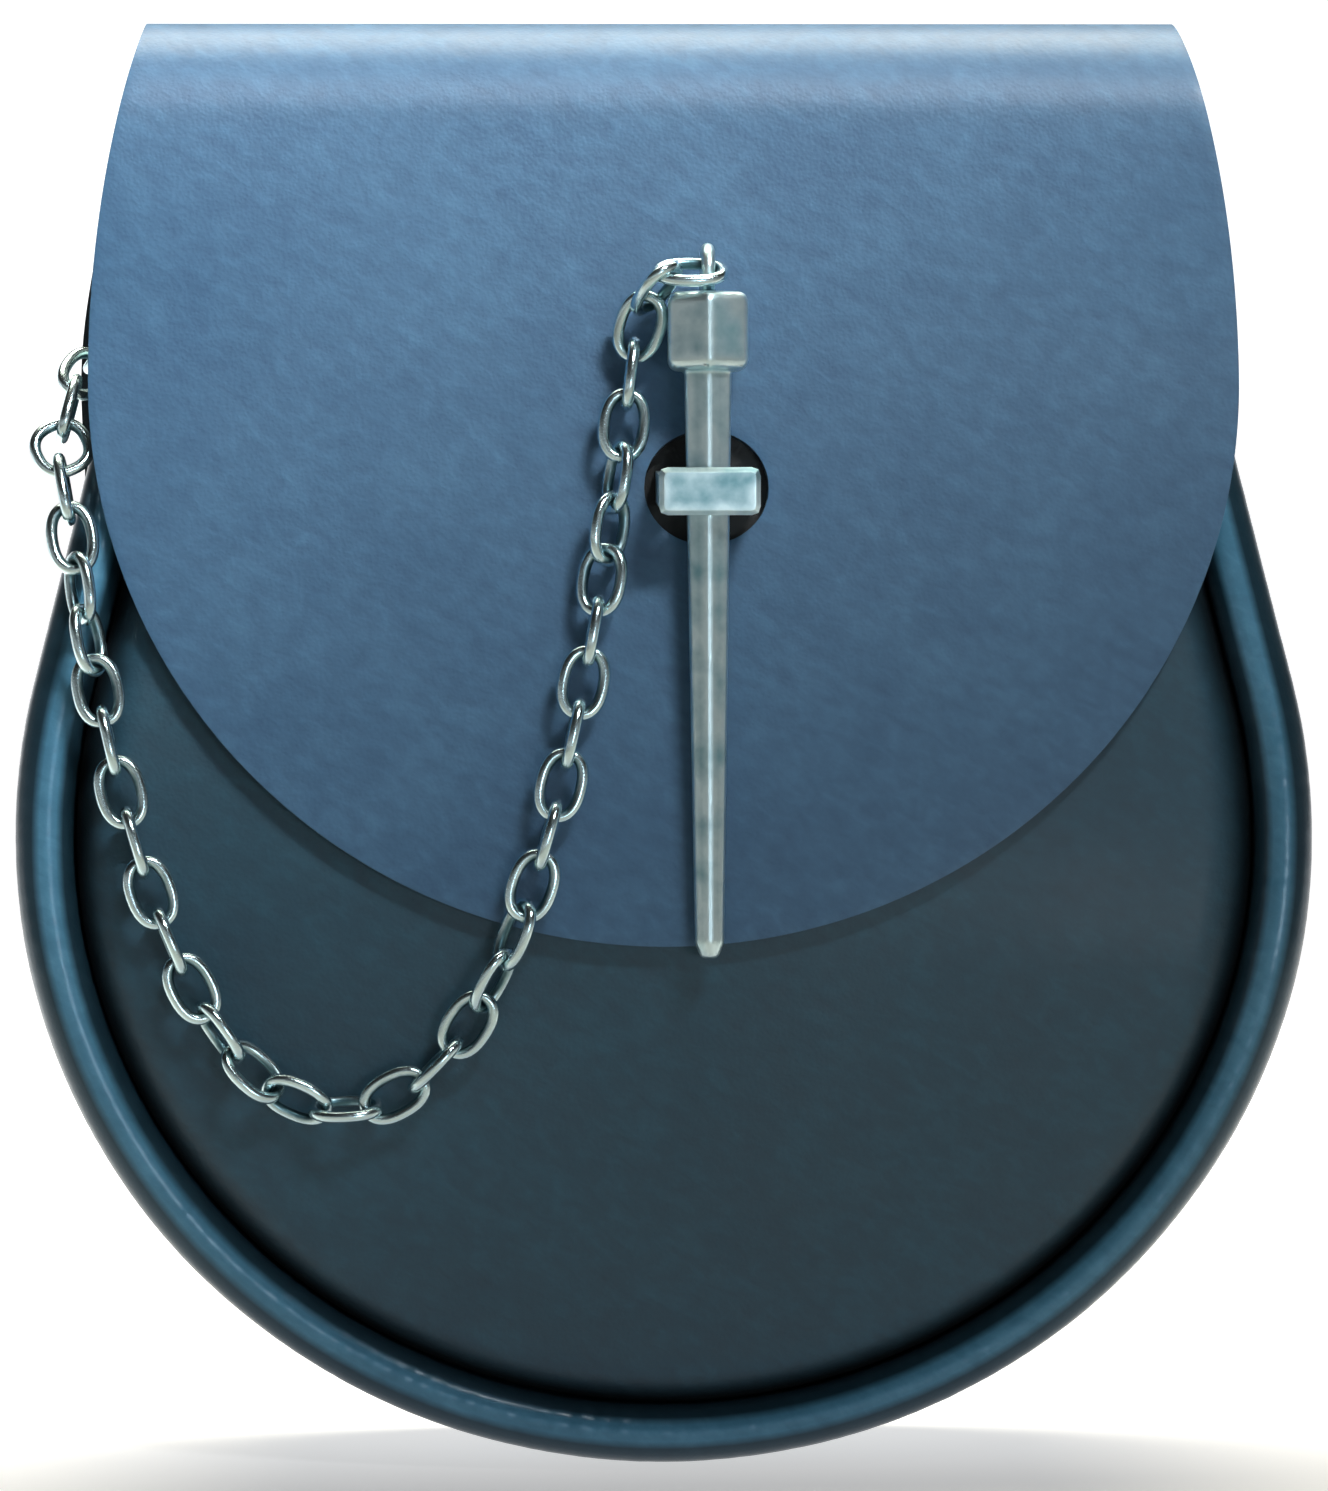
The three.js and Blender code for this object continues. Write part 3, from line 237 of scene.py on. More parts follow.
# %% Flesh side and burnished edge
def plain_leather_side(name, dark, light, roughness, fibre_mm, depth_mm):
    material, tree, output, place = new_material(name)
    fibres = add_node(tree, "ShaderNodeTexNoise", {
        "Vector": place, "Scale": per_metre(fibre_mm), "Detail": 6.0, "Roughness": 0.7,
    })
    colour = colour_steps(tree, fibres.outputs["Fac"], [(0.35, dark), (0.65, light)])
    bump = add_node(tree, "ShaderNodeBump", {
        "Height": fibres.outputs["Fac"], "Strength": 0.5, "Distance": depth_mm * MM,
    })
    side = add_node(tree, "ShaderNodeBsdfPrincipled", {
        "Base Color": colour, "Roughness": roughness, "Normal": bump.outputs["Normal"], "IOR": 1.48,
    })
    tree.links.new(side.outputs["BSDF"], output.inputs["Surface"])
    return material


flesh_side = plain_leather_side("leather_flesh_side", "#1d252b", "#2c373e", 0.88, 0.6, 0.25)
burnished_edge = plain_leather_side("leather_burnished_edge", "#141c22", "#2a3740", 0.42, 1.1, 0.08)
print("sides:", flesh_side.name, burnished_edge.name)

# %% [markdown]
# ## Antique nickel
# The fittings are cast and plated, then darkened and rubbed back: bright where hands and leather
# wear them, dull in the hollows. Each metal mesh carries a "wear" value, larger on its outer edges,
# which the script works out from its shape. Worn metal is brighter and smoother. A few slow stains
# shift it both ways. Nickel is a metal, so metallic is 1 and its colour is its reflection.

# %% Antique nickel
STAIN_SPACING = 4.5
SCRATCH_SPACING = 0.35


def antique_nickel(name, dull, plain, bright, roughness):
    material, tree, output, place = new_material(name)
    patina = add_node(tree, "ShaderNodeTexNoise", {
        "Vector": place, "Scale": per_metre(STAIN_SPACING), "Detail": 3.0, "Roughness": 0.5,
    })
    # On the chain the "wear" value carries a painted highlight on each link's outside and painted shade on
    # its inside.
    worn = add_node(tree, "ShaderNodeAttribute", attribute_name="wear")
    level = add_node(tree, "ShaderNodeMath", {
        0: patina.outputs["Fac"], 1: worn.outputs["Fac"],
    }, operation="ADD")
    colour = colour_steps(tree, level.outputs["Value"], [(0.2, dull), (0.56, plain), (1.0, bright)])
    scratches = add_node(tree, "ShaderNodeTexNoise", {
        "Vector": place, "Scale": per_metre(SCRATCH_SPACING), "Detail": 4.0,
    })
    bump = add_node(tree, "ShaderNodeBump", {
        "Height": scratches.outputs["Fac"], "Strength": 0.3, "Distance": 0.06 * MM,
    })
    dulled = add_node(tree, "ShaderNodeMapRange", {
        "Value": level.outputs["Value"], "From Min": 0.3, "From Max": 1.0,
        "To Min": roughness + 0.12, "To Max": roughness - 0.1,
    })
    metal = add_node(tree, "ShaderNodeBsdfPrincipled", {
        "Base Color": colour, "Metallic": 1.0, "Roughness": dulled.outputs["Result"],
        "Normal": bump.outputs["Normal"],
    })
    tree.links.new(metal.outputs["BSDF"], output.inputs["Surface"])
    return material


cast_nickel = antique_nickel("antique_nickel_cast", "#3a5a62", "#86b2bd", "#dcf1f4", 0.46)
wire_nickel = antique_nickel("antique_nickel_wire", "#132226", "#5d7f87", "#d6edf0", 0.32)
print("metals:", cast_nickel.name, wire_nickel.name)

# %% [markdown]
# Waxed linen thread holds the seams: dark, matt, twisted from fine strands. The strands are drawn
# 0.4 mm apart, coarser than real ones, so that they show at all.

# %% Linen thread
def linen_thread():
    material, tree, output, place = new_material("waxed_linen_thread")
    strands = add_node(tree, "ShaderNodeTexNoise", {
        "Vector": place, "Scale": per_metre(0.4), "Detail": 2.0,
    })
    colour = colour_steps(tree, strands.outputs["Fac"], [(0.35, "#3c4a52"), (0.65, "#5a6a73")])
    bump = add_node(tree, "ShaderNodeBump", {
        "Height": strands.outputs["Fac"], "Strength": 0.4, "Distance": 0.1 * MM,
    })
    thread = add_node(tree, "ShaderNodeBsdfPrincipled", {
        "Base Color": colour, "Roughness": 0.7, "Normal": bump.outputs["Normal"], "IOR": 1.5,
    })
    tree.links.new(thread.outputs["BSDF"], output.inputs["Surface"])
    return material


waxed_thread = linen_thread()
print("thread:", waxed_thread.name)

# %% [markdown]
# ## The pouch's own sizes
# The fine surfaces follow the same rules as the measured solids, so the named sizes come first.
# Everything is drawn in millimetres: across to the right, depth forwards from the back's outer
# face, height up from the pouch's widest line.

# %% Named sizes, in millimetres
HALF_WIDTH = 95.2
DROP = 92.4
RISE = 119.2
SIDE_LEAN = math.radians(14)
BACK_INSET = 1.5
BACK_MARGIN = 1.8
RIM_DEPTH = 40.0
RIM_LOSS = 16.0
RIM_BEND_START = -0.216 * DROP
RIM_BEND_EASE = 0.2
SHOULDER_RISE = 3.2
SHOULDER_WIDTH = 7.5
DOME_RISE = 3.0
FLAP_LEATHER = 2.4
PANEL_LEATHER = 2.0
GUSSET_LEATHER = 1.8
LOOP_LEATHER = 2.2
PIPING_RADIUS = 4.3
SEAM_GAP = 0.3
FLAP_EASE = 0.5
PANEL_TOP = RISE - 20.2
PANEL_INSET = 2 * PIPING_RADIUS + SEAM_GAP
FLAP_HALF_WIDTH = HALF_WIDTH - 10.9
FLAP_SHOULDER = 52.3
FLAP_WIDEST = RISE - FLAP_SHOULDER
FLAP_TIP_DROP = 15.1
FLAP_DROP = FLAP_WIDEST + FLAP_TIP_DROP
FOLD_NARROWING = 8.2
FLAP_CROWN_AXIS = FLAP_SHOULDER / math.sqrt(1 - (1 - FOLD_NARROWING / FLAP_HALF_WIDTH) ** 2)
FLAP_SETTLE = 35.0
CLOSURE_ACROSS = 5.9
CLOSURE_HEIGHT = 51.4
HOLE_WIDTH = 18.2
HOLE_HEIGHT = 16.6
TUNNEL_DEPTH = 6.0
LOOP_HEIGHT = 60.0


def place_mm(across, depth, height):
    """Points of the pouch in metres, in the frame whose origin is the middle of the belt tunnel."""
    backwards_mm = -np.asarray(depth) - TUNNEL_DEPTH / 2
    parts = np.broadcast_arrays(across, backwards_mm, np.asarray(height) - LOOP_HEIGHT)
    return np.stack(parts, axis=-1).astype(float) * MM


print("widest", 2 * HALF_WIDTH, "mm, and", DROP + RISE, "mm from the bottom to the fold")

# %% [markdown]
# The outline is half an ellipse below the widest line. Above it a round shoulder runs into straight
# sides that lean in. The piping's depth, the front panel's rise and the flap's rise are all
# functions of that outline, so pieces that lie on each other ask the same functions where to be.

# %% Outline and depth rules
def smooth_step(value):
    share = np.clip(value, 0, 1)
    return share * share * (3 - 2 * share)


def body_half_width(height, inset):
    """Half the pouch's width at a height, for an outline that lies inset by this much."""
    height = np.asarray(height, float)
    wide, down = HALF_WIDTH - inset, DROP - inset
    below = wide * np.sqrt(np.clip(1 - (height / down) ** 2, 0, None))
    level = np.sqrt(np.clip(wide ** 2 - height ** 2, 0, None))
    above = (wide - height * math.sin(SIDE_LEAN)) / math.cos(SIDE_LEAN)
    return np.where(height < 0, below, np.where(height < wide * math.sin(SIDE_LEAN), level, above))


def edge_distance(across, height):
    """How far a place lies inside the pouch's outline."""
    side = np.abs(np.asarray(across, float)) + 1e-9
    height = np.asarray(height, float)
    reach = np.hypot(side, height)
    share = np.hypot(side / HALF_WIDTH, height / DROP)
    below = (1 - share) * reach / np.maximum(share, 1e-9)
    above = HALF_WIDTH - side * math.cos(SIDE_LEAN) - height * math.sin(SIDE_LEAN)
    level = HALF_WIDTH - reach
    return np.where(height < 0, below, np.where(height < side * math.tan(SIDE_LEAN), level, above))


def flap_half_width(height):
    above = np.asarray(height, float) - FLAP_WIDEST
    axis = np.where(above > 0, FLAP_CROWN_AXIS, FLAP_DROP)
    return FLAP_HALF_WIDTH * np.sqrt(np.clip(1 - (above / axis) ** 2, 0, None))


def rim_depth(height):
    """Depth of the piping's middle line. The pouch grows thinner towards its mouth."""
    share = np.clip((np.asarray(height, float) - RIM_BEND_START) / (PANEL_TOP - RIM_BEND_START), 0, None)
    return RIM_DEPTH - RIM_LOSS * (1 + RIM_BEND_EASE) * share ** 2 / (share + RIM_BEND_EASE)


def panel_depth(across, height, tuck=0.0):
    """Depth of the front panel's face. tuck is how much deeper its edge is pulled by the seam."""
    edge = edge_distance(across, height)
    shoulder = np.clip((edge - PANEL_INSET) / SHOULDER_WIDTH, 0, 1)
    middle = 1 - np.clip(1 - edge / HALF_WIDTH, 0, 1) ** 2
    rise = (SHOULDER_RISE + tuck) * (1 - (1 - shoulder) ** (2 + tuck / 2)) - tuck
    return rim_depth(height) + rise + DOME_RISE * middle


def flap_depth(across, height, fold_end):
    """Depth of the flap's face: its middle lies on the panel's dome, its sides on the piping."""
    settled = smooth_step((fold_end - np.asarray(height, float)) / FLAP_SETTLE)
    crown = 1 - (np.asarray(across) / FLAP_HALF_WIDTH) ** 2 * settled
    lift = PIPING_RADIUS + (SHOULDER_RISE + DOME_RISE - PIPING_RADIUS) * crown
    return rim_depth(height) + lift + FLAP_EASE + FLAP_LEATHER


def solve_fold():
    """The fold is an arc from the upright back that runs into the sloping flap without a corner."""
    radius = 17.0
    for _ in range(40):
        slope = 0.0
        for _ in range(20):
            end = RISE - radius * (1 - math.sin(slope))
            drop = float(flap_depth(0, end - 0.01, end) - flap_depth(0, end + 0.01, end))
            slope = math.atan2(drop, 0.02)
        radius = float(flap_depth(0, end, end)) / (1 + math.cos(slope))
    return radius, slope, end, RISE - radius


FOLD_RADIUS, FOLD_SLOPE, FOLD_END, FOLD_START = solve_fold()
print("fold radius", round(FOLD_RADIUS, 2), "mm, ends at height", round(FOLD_END, 1))

# %% [markdown]
# ## From a grid of points to a leather sheet
# A sheet is easiest to draw as one surface of square cells, because the thickness, the rounded
# edges and the finish of each side can then be added by modifiers: Solidify gives the leather its
# other side and its rim, and Bevel rounds the rim off as a hand tool does. The lower half of each
# outline is half an ellipse, and a plain grid is bent to it so that no cells crowd at the tip.
# No hide is quite flat, so a slow noise lifts and lowers each large sheet a little.

# %% Sheets
def half_ellipse(columns, rows, wide, down):
    """A grid on half an ellipse: across and how far down, from its widest line to its tip."""
    u, v = np.meshgrid(columns, rows)
    return wide * u * np.sqrt(1 - v * v / 2), down * v * np.sqrt(1 - u * u / 2)


def new_piece(name, points, faces, materials):
    mesh = bpy.data.meshes.new(name)
    mesh.from_pydata(np.asarray(points, float).reshape(-1, 3).tolist(), [], faces)
    mesh.polygons.foreach_set("use_smooth", [True] * len(mesh.polygons))
    for material in materials:
        mesh.materials.append(material)
    mesh.update()
    piece = bpy.data.objects.new(name, mesh)
    bpy.context.scene.collection.objects.link(piece)
    return piece


def store(piece, name, values):
    """Keeps one number for each point of a mesh, for its material to read."""
    values = np.clip(np.asarray(values, np.float32).ravel(), 0, 1)
    piece.data.attributes.new(name, "FLOAT", "POINT").data.foreach_set("value", values)


def grid_faces(rows, columns, left_out=None, turned=False):
    faces = []
    for row in range(rows - 1):
        for column in range(columns - 1):
            if left_out is not None and left_out[row, column]:
                continue
            at = row * columns + column
            face = (at, at + 1, at + columns + 1, at + columns)
            faces.append(face[::-1] if turned else face)
    return faces


def settle(piece):
    """Turns a piece and its modifiers into one plain mesh."""
    evaluated = piece.evaluated_get(bpy.context.evaluated_depsgraph_get())
    mesh = bpy.data.meshes.new_from_object(evaluated)
    piece.modifiers.clear()
    old = piece.data
    piece.data = mesh
    bpy.data.meshes.remove(old)
    mesh.name = piece.name
    return piece


def round_edges(piece, width_mm, segments, sharper_than):
    """Rounds every edge of a piece that is sharper than this many degrees."""
    rounding = piece.modifiers.new("rounded edge", "BEVEL")
    rounding.width = width_mm * MM
    rounding.segments = segments
    rounding.limit_method = "ANGLE"
    rounding.angle_limit = math.radians(sharper_than)
    return settle(piece)


def leather_sheet(piece, thickness, edge=0.55):
    """Gives a one-sided sheet its thickness, its rim and its rounded edges, inwards from its face."""
    wall = piece.modifiers.new("wall", "SOLIDIFY")
    wall.thickness = thickness * MM
    wall.offset = -1
    wall.use_even_offset = True
    wall.use_quality_normals = True
    wall.material_offset = 1
    wall.material_offset_rim = 2
    round_edges(piece, edge, 3, 50)
    print(piece.name, len(piece.data.polygons), "faces")
    return piece


def unevenness(points, size_mm, height_mm, seed):
    """How far a hide's own unevenness lifts each point, in millimetres."""
    shift = Vector((seed * 3.7, seed * 1.3, 0))
    scale = per_metre(size_mm)
    flat = points.reshape(-1, 3)
    lifts = [noise.noise(Vector(point) * scale + shift) for point in flat]
    return height_mm * np.array(lifts).reshape(points.shape[:-1])


# %% [markdown]
# ## Back panel, fold and flap
# All three are one piece of leather. The sheet starts at the bottom of the back, goes up, turns
# over the fold and comes down the front to the flap's round tip. Near the staple the cells are
# moved aside into rings, and the cells inside the innermost ring are left out: that is the hole.

# %% Back and flap
HOLE_RING = 6  # cells from the staple out to the hole's edge
HOLE_REACH = 13  # cells out to where the grid is left as it was
HOLE_CELL = 1.4  # millimetres from one ring of cells to the next


def back_half_width(height):
    """The back follows the pouch below and the flap above, with a soft turn between them."""
    body = body_half_width(height, BACK_INSET)
    kept = 1 - smooth_step((height - FLAP_WIDEST) / (FOLD_START - FLAP_WIDEST))
    flap = flap_half_width(height) + BACK_MARGIN * kept
    blend = 4 * smooth_step(height / (FLAP_WIDEST / 2)) * kept
    return (body + flap + np.sqrt((body - flap) ** 2 + blend ** 2)) / 2


def flap_grid(columns):
    """Rows of the flap below the fold, as across and height."""
    upper = np.linspace(FOLD_END, FLAP_WIDEST, 23)[1:-1]
    lower_across, lower_down = half_ellipse(columns, np.linspace(0, 1, 61), FLAP_HALF_WIDTH, FLAP_DROP)
    upper_across = columns[None, :] * flap_half_width(upper)[:, None]
    upper_height = np.broadcast_to(upper[:, None], upper_across.shape)
    return (np.vstack([upper_across, lower_across]),
            np.vstack([upper_height, FLAP_WIDEST - lower_down]))


def open_hole(across, height):
    """Moves cells round the staple into rings, and says which cells lie inside the hole."""
    gap = (across - CLOSURE_ACROSS) ** 2 + (height - CLOSURE_HEIGHT) ** 2
    row0, column0 = np.unravel_index(np.argmin(gap), gap.shape)
    left_out = np.zeros((across.shape[0] - 1, across.shape[1] - 1), bool)
    left_out[row0 - HOLE_RING:row0 + HOLE_RING, column0 - HOLE_RING:column0 + HOLE_RING] = True
    for row in range(row0 - HOLE_REACH, row0 + HOLE_REACH + 1):
        for column in range(column0 - HOLE_REACH, column0 + HOLE_REACH + 1):
            out = max(abs(row - row0), abs(column - column0)) - HOLE_RING
            if out < 0:
                continue
            angle = math.atan2(row0 - row, column - column0)
            kept = float(smooth_step(out / (HOLE_REACH - HOLE_RING)))
            wide = HOLE_WIDTH / 2 + out * HOLE_CELL
            tall = HOLE_HEIGHT / 2 + out * HOLE_CELL
            ring_across = CLOSURE_ACROSS + wide * math.cos(angle)
            ring_height = CLOSURE_HEIGHT + tall * math.sin(angle)
            across[row, column] += (ring_across - across[row, column]) * (1 - kept)
            height[row, column] += (ring_height - height[row, column]) * (1 - kept)
    return left_out


def make_back_and_flap():
    columns = np.linspace(-1, 1, 121)
    across, down = half_ellipse(columns, np.linspace(1, 0, 61), HALF_WIDTH - BACK_INSET, DROP - BACK_INSET)
    parts = [place_mm(across, 0, -down)]
    back_heights = np.linspace(0, FOLD_START, 52)[1:]
    half = back_half_width(back_heights)
    parts.append(place_mm(columns[None, :] * half[:, None], 0, back_heights[:, None]))
    angles = np.linspace(0, math.pi - FOLD_SLOPE, 43)[1:]
    fold_heights = FOLD_START + FOLD_RADIUS * np.sin(angles)
    fold_depths = FOLD_RADIUS * (1 - np.cos(angles))
    half = flap_half_width(fold_heights)
    parts.append(place_mm(columns[None, :] * half[:, None], fold_depths[:, None], fold_heights[:, None]))
    across, height = flap_grid(columns)
    above = sum(len(part) for part in parts)
    inside = open_hole(across, height)
    parts.append(place_mm(across, flap_depth(across, height, FOLD_END), height))
    points = np.vstack(parts)
    left_out = np.zeros((len(points) - 1, len(columns) - 1), bool)
    left_out[above:, :] = inside
    points[..., 1] -= unevenness(points, 46, 0.22, 1) * MM
    faces = grid_faces(len(points), len(columns), left_out, turned=True)
    piece = new_piece("back_and_flap_leather", points, faces, [flap_leather, flesh_side, burnished_edge])
    return leather_sheet(piece, FLAP_LEATHER)


back_and_flap = make_back_and_flap()

# %% [markdown]
# ## Front panel
# The front was shaped wet over a form: it rises out of the groove beside the piping in a round
# shoulder and then swells a little towards its middle. The seam pulls its edge down beside the
# piping. Its colour is painted dark as shade beside the seam and round the staple, where the
# flap's hole shows it.

# %% Front panel
SEAM_TUCK = 1.4
SHADE_BESIDE_SEAM = 5.5
SHADE_ROUND_STAPLE = 10.0


def make_front_panel():
    columns = np.linspace(-1, 1, 111)
    across, down = half_ellipse(columns, np.linspace(1, 0, 56), HALF_WIDTH - PANEL_INSET, DROP - PANEL_INSET)
    heights = np.linspace(0, PANEL_TOP, 62)[1:]
    upper = columns[None, :] * body_half_width(heights, PANEL_INSET)[:, None]
    across = np.vstack([across, upper])
    height = np.vstack([-down, np.broadcast_to(heights[:, None], upper.shape)])
    points = place_mm(across, panel_depth(across, height, SEAM_TUCK), height)
    from_seam = edge_distance(across, height) - PANEL_INSET
    points[..., 1] -= unevenness(points, 38, 0.5, 2) * np.clip(from_seam / 20, 0, 1) * MM
    faces = grid_faces(len(points), len(columns))
    piece = new_piece("front_panel_leather", points, faces, [panel_leather, flesh_side, burnished_edge])
    # painted shade: the panel's colour is darkened beside the seam and round the staple under the flap's
    # hole
    from_staple = np.hypot(across - CLOSURE_ACROSS, height - CLOSURE_HEIGHT)
    shade_by_seam = 1 - smooth_step(from_seam / SHADE_BESIDE_SEAM)
    shade_by_staple = 1 - smooth_step((from_staple - SHADE_ROUND_STAPLE) / 3)
    store(piece, "groove", np.maximum(shade_by_seam, shade_by_staple))
    return leather_sheet(piece, PANEL_LEATHER, 0.4)


front_panel = make_front_panel()

# %% [markdown]
# ## The outline as a path
# The piping and the gusset both follow the pouch's outline, so they share one list of stations:
# up the left side, round the bottom, and up the right side. A station knows its place for any inset.

# %% Stations along the outline
def stations(top_height, side_steps, round_steps):
    """Stations as side, angle and how far up the straight side, from the left top to the right."""
    run = (top_height - HALF_WIDTH * math.sin(SIDE_LEAN)) / math.cos(SIDE_LEAN)
    made = [(-1, SIDE_LEAN, run * (1 - step / side_steps)) for step in range(side_steps)]
    for step in range(round_steps + 1):
        turn = -math.pi - SIDE_LEAN + (math.pi + 2 * SIDE_LEAN) * step / round_steps
        side = -1 if math.cos(turn) < 0 else 1
        made.append((side, math.atan2(math.sin(turn), abs(math.cos(turn))), 0.0))
    made += [(1, SIDE_LEAN, run * step / side_steps) for step in range(1, side_steps + 1)]
    return made


def station_place(station, inset):
    """Across and height of a station, moved inwards by the inset."""
    side, angle, up = station
    across = (HALF_WIDTH - inset) * math.cos(angle) - up * math.sin(angle)
    down = (DROP if angle < 0 else HALF_WIDTH) - inset
    return side * across, down * math.sin(angle) + up * math.cos(angle)


def tube_faces(rings, around):
    """Faces of a tube through rings of points, with a flat face on each end."""
    faces = []
    for ring in range(rings - 1):
        for side in range(around):
            other = (side + 1) % around
            here, there = ring * around, (ring + 1) * around
            faces.append((here + side, here + other, there + other, there + side))
    faces.append(tuple(range(around))[::-1])
    faces.append(tuple(range((rings - 1) * around, rings * around)))
    return faces


def face_outwards(piece):
    """Makes every face of a closed mesh point out."""
    shape = bmesh.new()
    shape.from_mesh(piece.data)
    bmesh.ops.recalc_face_normals(shape, faces=shape.faces)
    shape.to_mesh(piece.data)
    shape.free()
    return piece


# %% [markdown]
# ## Piping
# A strip of thin leather is wrapped round a cord and sewn between the front panel and the gusset.
# Going round the curve it has to take up its own slack, so it is full of small cross creases,
# deeper on the inner side, where the stitching gathers it. Its colour is lighter along its crown,
# a painted highlight, and painted dark on both sides of it as shade.

# %% Piping
PIPING_SIDES = 22
CREASE_DEPTH = 0.07
CREASE_EVERY = 1.5
SWELL_DEPTH = 0.1
SWELL_EVERY = 23.0
# The crown's lighter colour is a painted highlight, and the darker sides are painted shade.
CROWN_TURN = math.radians(98)  # from the outer side round towards the front and inwards
CROWN_SIDE_SHADE = 0.88  # how dark the sides stay
END_TURNS = (80, 62, 42, 21)  # in degrees, for the rings that round off each end


def make_piping():
    path = stations(PANEL_TOP - PIPING_RADIUS, 150, 640)
    centres, outs = [], []
    for station in path:
        across, height = station_place(station, PIPING_RADIUS)
        outer_across, outer_height = station_place(station, 0)
        out = np.array([outer_across - across, 0, outer_height - height])
        centres.append(np.array([across, -float(rim_depth(height)), height]))
        outs.append(out / np.linalg.norm(out))
    steps = [np.linalg.norm(after - before) for before, after in zip(centres, centres[1:])]
    lengths = np.concatenate([[0], np.cumsum(steps)])
    front = np.array([0, -1.0, 0])
    rings = []

    def ring(centre, out, radius, along_mm):
        for side in range(PIPING_SIDES):
            angle = 2 * math.pi * side / PIPING_SIDES
            inward = 0.5 - 0.5 * math.cos(angle)
            around = Vector((along_mm / CREASE_EVERY, math.cos(angle) * 0.7, math.sin(angle) * 0.7))
            slow = Vector((along_mm / SWELL_EVERY, 4.0, math.cos(angle) * 0.5))
            depth = CREASE_DEPTH * (0.5 + inward) * noise.noise(around) + SWELL_DEPTH * noise.noise(slow)
            facing = out * math.cos(angle) + front * math.sin(angle)
            rings.append(centre + facing * radius * (1 + depth / PIPING_RADIUS))

    def round_end(centre, out, onward, along_mm, reverse):
        for degrees in END_TURNS if reverse else END_TURNS[::-1]:
            turn = math.radians(degrees)
            middle = centre + onward * PIPING_RADIUS * math.sin(turn)
            ring(middle, out, PIPING_RADIUS * math.cos(turn), along_mm)

    start = centres[0] - centres[1]
    finish = centres[-1] - centres[-2]
    round_end(centres[0], outs[0], start / np.linalg.norm(start), lengths[0], True)
    for centre, out, along_mm in zip(centres, outs, lengths):
        ring(centre, out, PIPING_RADIUS, along_mm)
    round_end(centres[-1], outs[-1], finish / np.linalg.norm(finish), lengths[-1], False)
    drawn = np.array(rings)
    points = place_mm(drawn[:, 0], -drawn[:, 1], drawn[:, 2])
    count = len(points) // PIPING_SIDES
    faces = tube_faces(count, PIPING_SIDES)
    piece = face_outwards(new_piece("front_piping_leather", points, faces, [piping_leather]))
    # painted highlight and shade: the crown keeps the light colour, the sides are darkened
    on_crown = np.cos(2 * math.pi * np.arange(PIPING_SIDES) / PIPING_SIDES - CROWN_TURN)
    store(piece, "groove", np.tile(CROWN_SIDE_SHADE * smooth_step((0.99 - on_crown) / 0.14), count))
    return piece


piping = make_piping()
print("piping", len(piping.data.polygons), "faces")

# %% [markdown]
# ## Gusset
# The side wall is one long strip. Its foot lies flat on the back panel and is sewn to it, then the
# strip bends up and leans out to the piping. The bend is drawn as an arc on both faces.

# %% Gusset
FOOT_EDGE_INSET = 2.6
FOOT_WIDTH = 4.8
WALL_WAIST = 1.2
FOOT_BEND = 1.4
WALL_BEND = 9.0


def rounded_path(corners, radii, steps=5):
    """A polyline whose inner corners are rounded by arcs."""
    made = [np.array(corners[0], float)]
    for before, corner, after, radius in zip(corners, corners[1:], corners[2:], radii):
        before, corner, after = (np.array(place, float) for place in (before, corner, after))
        inward, onward = corner - before, after - corner
        reach = min(radius, 0.45 * np.linalg.norm(inward), 0.45 * np.linalg.norm(onward))
        start = corner - inward / np.linalg.norm(inward) * reach
        end = corner + onward / np.linalg.norm(onward) * reach
        for step in range(steps + 1):
            share = step / steps
            made.append((1 - share) ** 2 * start + 2 * share * (1 - share) * corner + share ** 2 * end)
    made.append(np.array(corners[-1], float))
    return made


def make_gusset():
    back = FLAP_LEATHER + SEAM_GAP
    foot = back + GUSSET_LEATHER
    bend = FOOT_EDGE_INSET + FOOT_WIDTH
    top = PIPING_RADIUS - GUSSET_LEATHER / 2
    rings = []
    path = stations(PANEL_TOP - PIPING_RADIUS, 60, 260)
    for index, station in enumerate(path):
        _, height = station_place(station, PIPING_RADIUS)
        front = float(rim_depth(height)) - PIPING_RADIUS - SEAM_GAP
        middle = (back + front) / 2
        slow = noise.noise(Vector((index / 11, 0, 7)))
        quick = noise.noise(Vector((index / 3.7, 2, 7)))
        waist = bend - WALL_WAIST - (0.35 * slow + 0.2 * quick)
        outside = rounded_path([
            (FOOT_EDGE_INSET, foot), (bend, foot), (waist, middle), (top, front),
        ], [FOOT_BEND, WALL_BEND])
        inside = rounded_path([
            (top + GUSSET_LEATHER, front), (waist + GUSSET_LEATHER, middle),
            (bend + GUSSET_LEATHER, back), (FOOT_EDGE_INSET, back),
        ], [WALL_BEND, FOOT_BEND + 1.6])
        for inset, depth in outside + inside:
            across, up = station_place(station, inset)
            rings.append((across, depth, up))
    drawn = np.array(rings)
    points = place_mm(drawn[:, 0], drawn[:, 1], drawn[:, 2])
    around = len(points) // len(path)
    piece = new_piece("gusset_leather", points, tube_faces(len(path), around), [panel_leather])
    return round_edges(face_outwards(piece), 0.35, 2, 60)


gusset = make_gusset()
print("gusset", len(gusset.data.polygons), "faces")

# %% [markdown]
# ## Belt loop
# A plain strap on the back, sewn down above and below so that a belt can run behind it. It is one
# bent sheet: its side view is a line with rounded corners, cut into even steps.

# %% Belt loop
LOOP_WIDTH = 60.0
LOOP_HALF = 25.0
LOOP_TAB = 12.0
LOOP_RAMP = 8.0
LOOP_EASE = 0.6  # how far beyond the tunnel's end the strap starts to rise
LOOP_CELL = 1.5


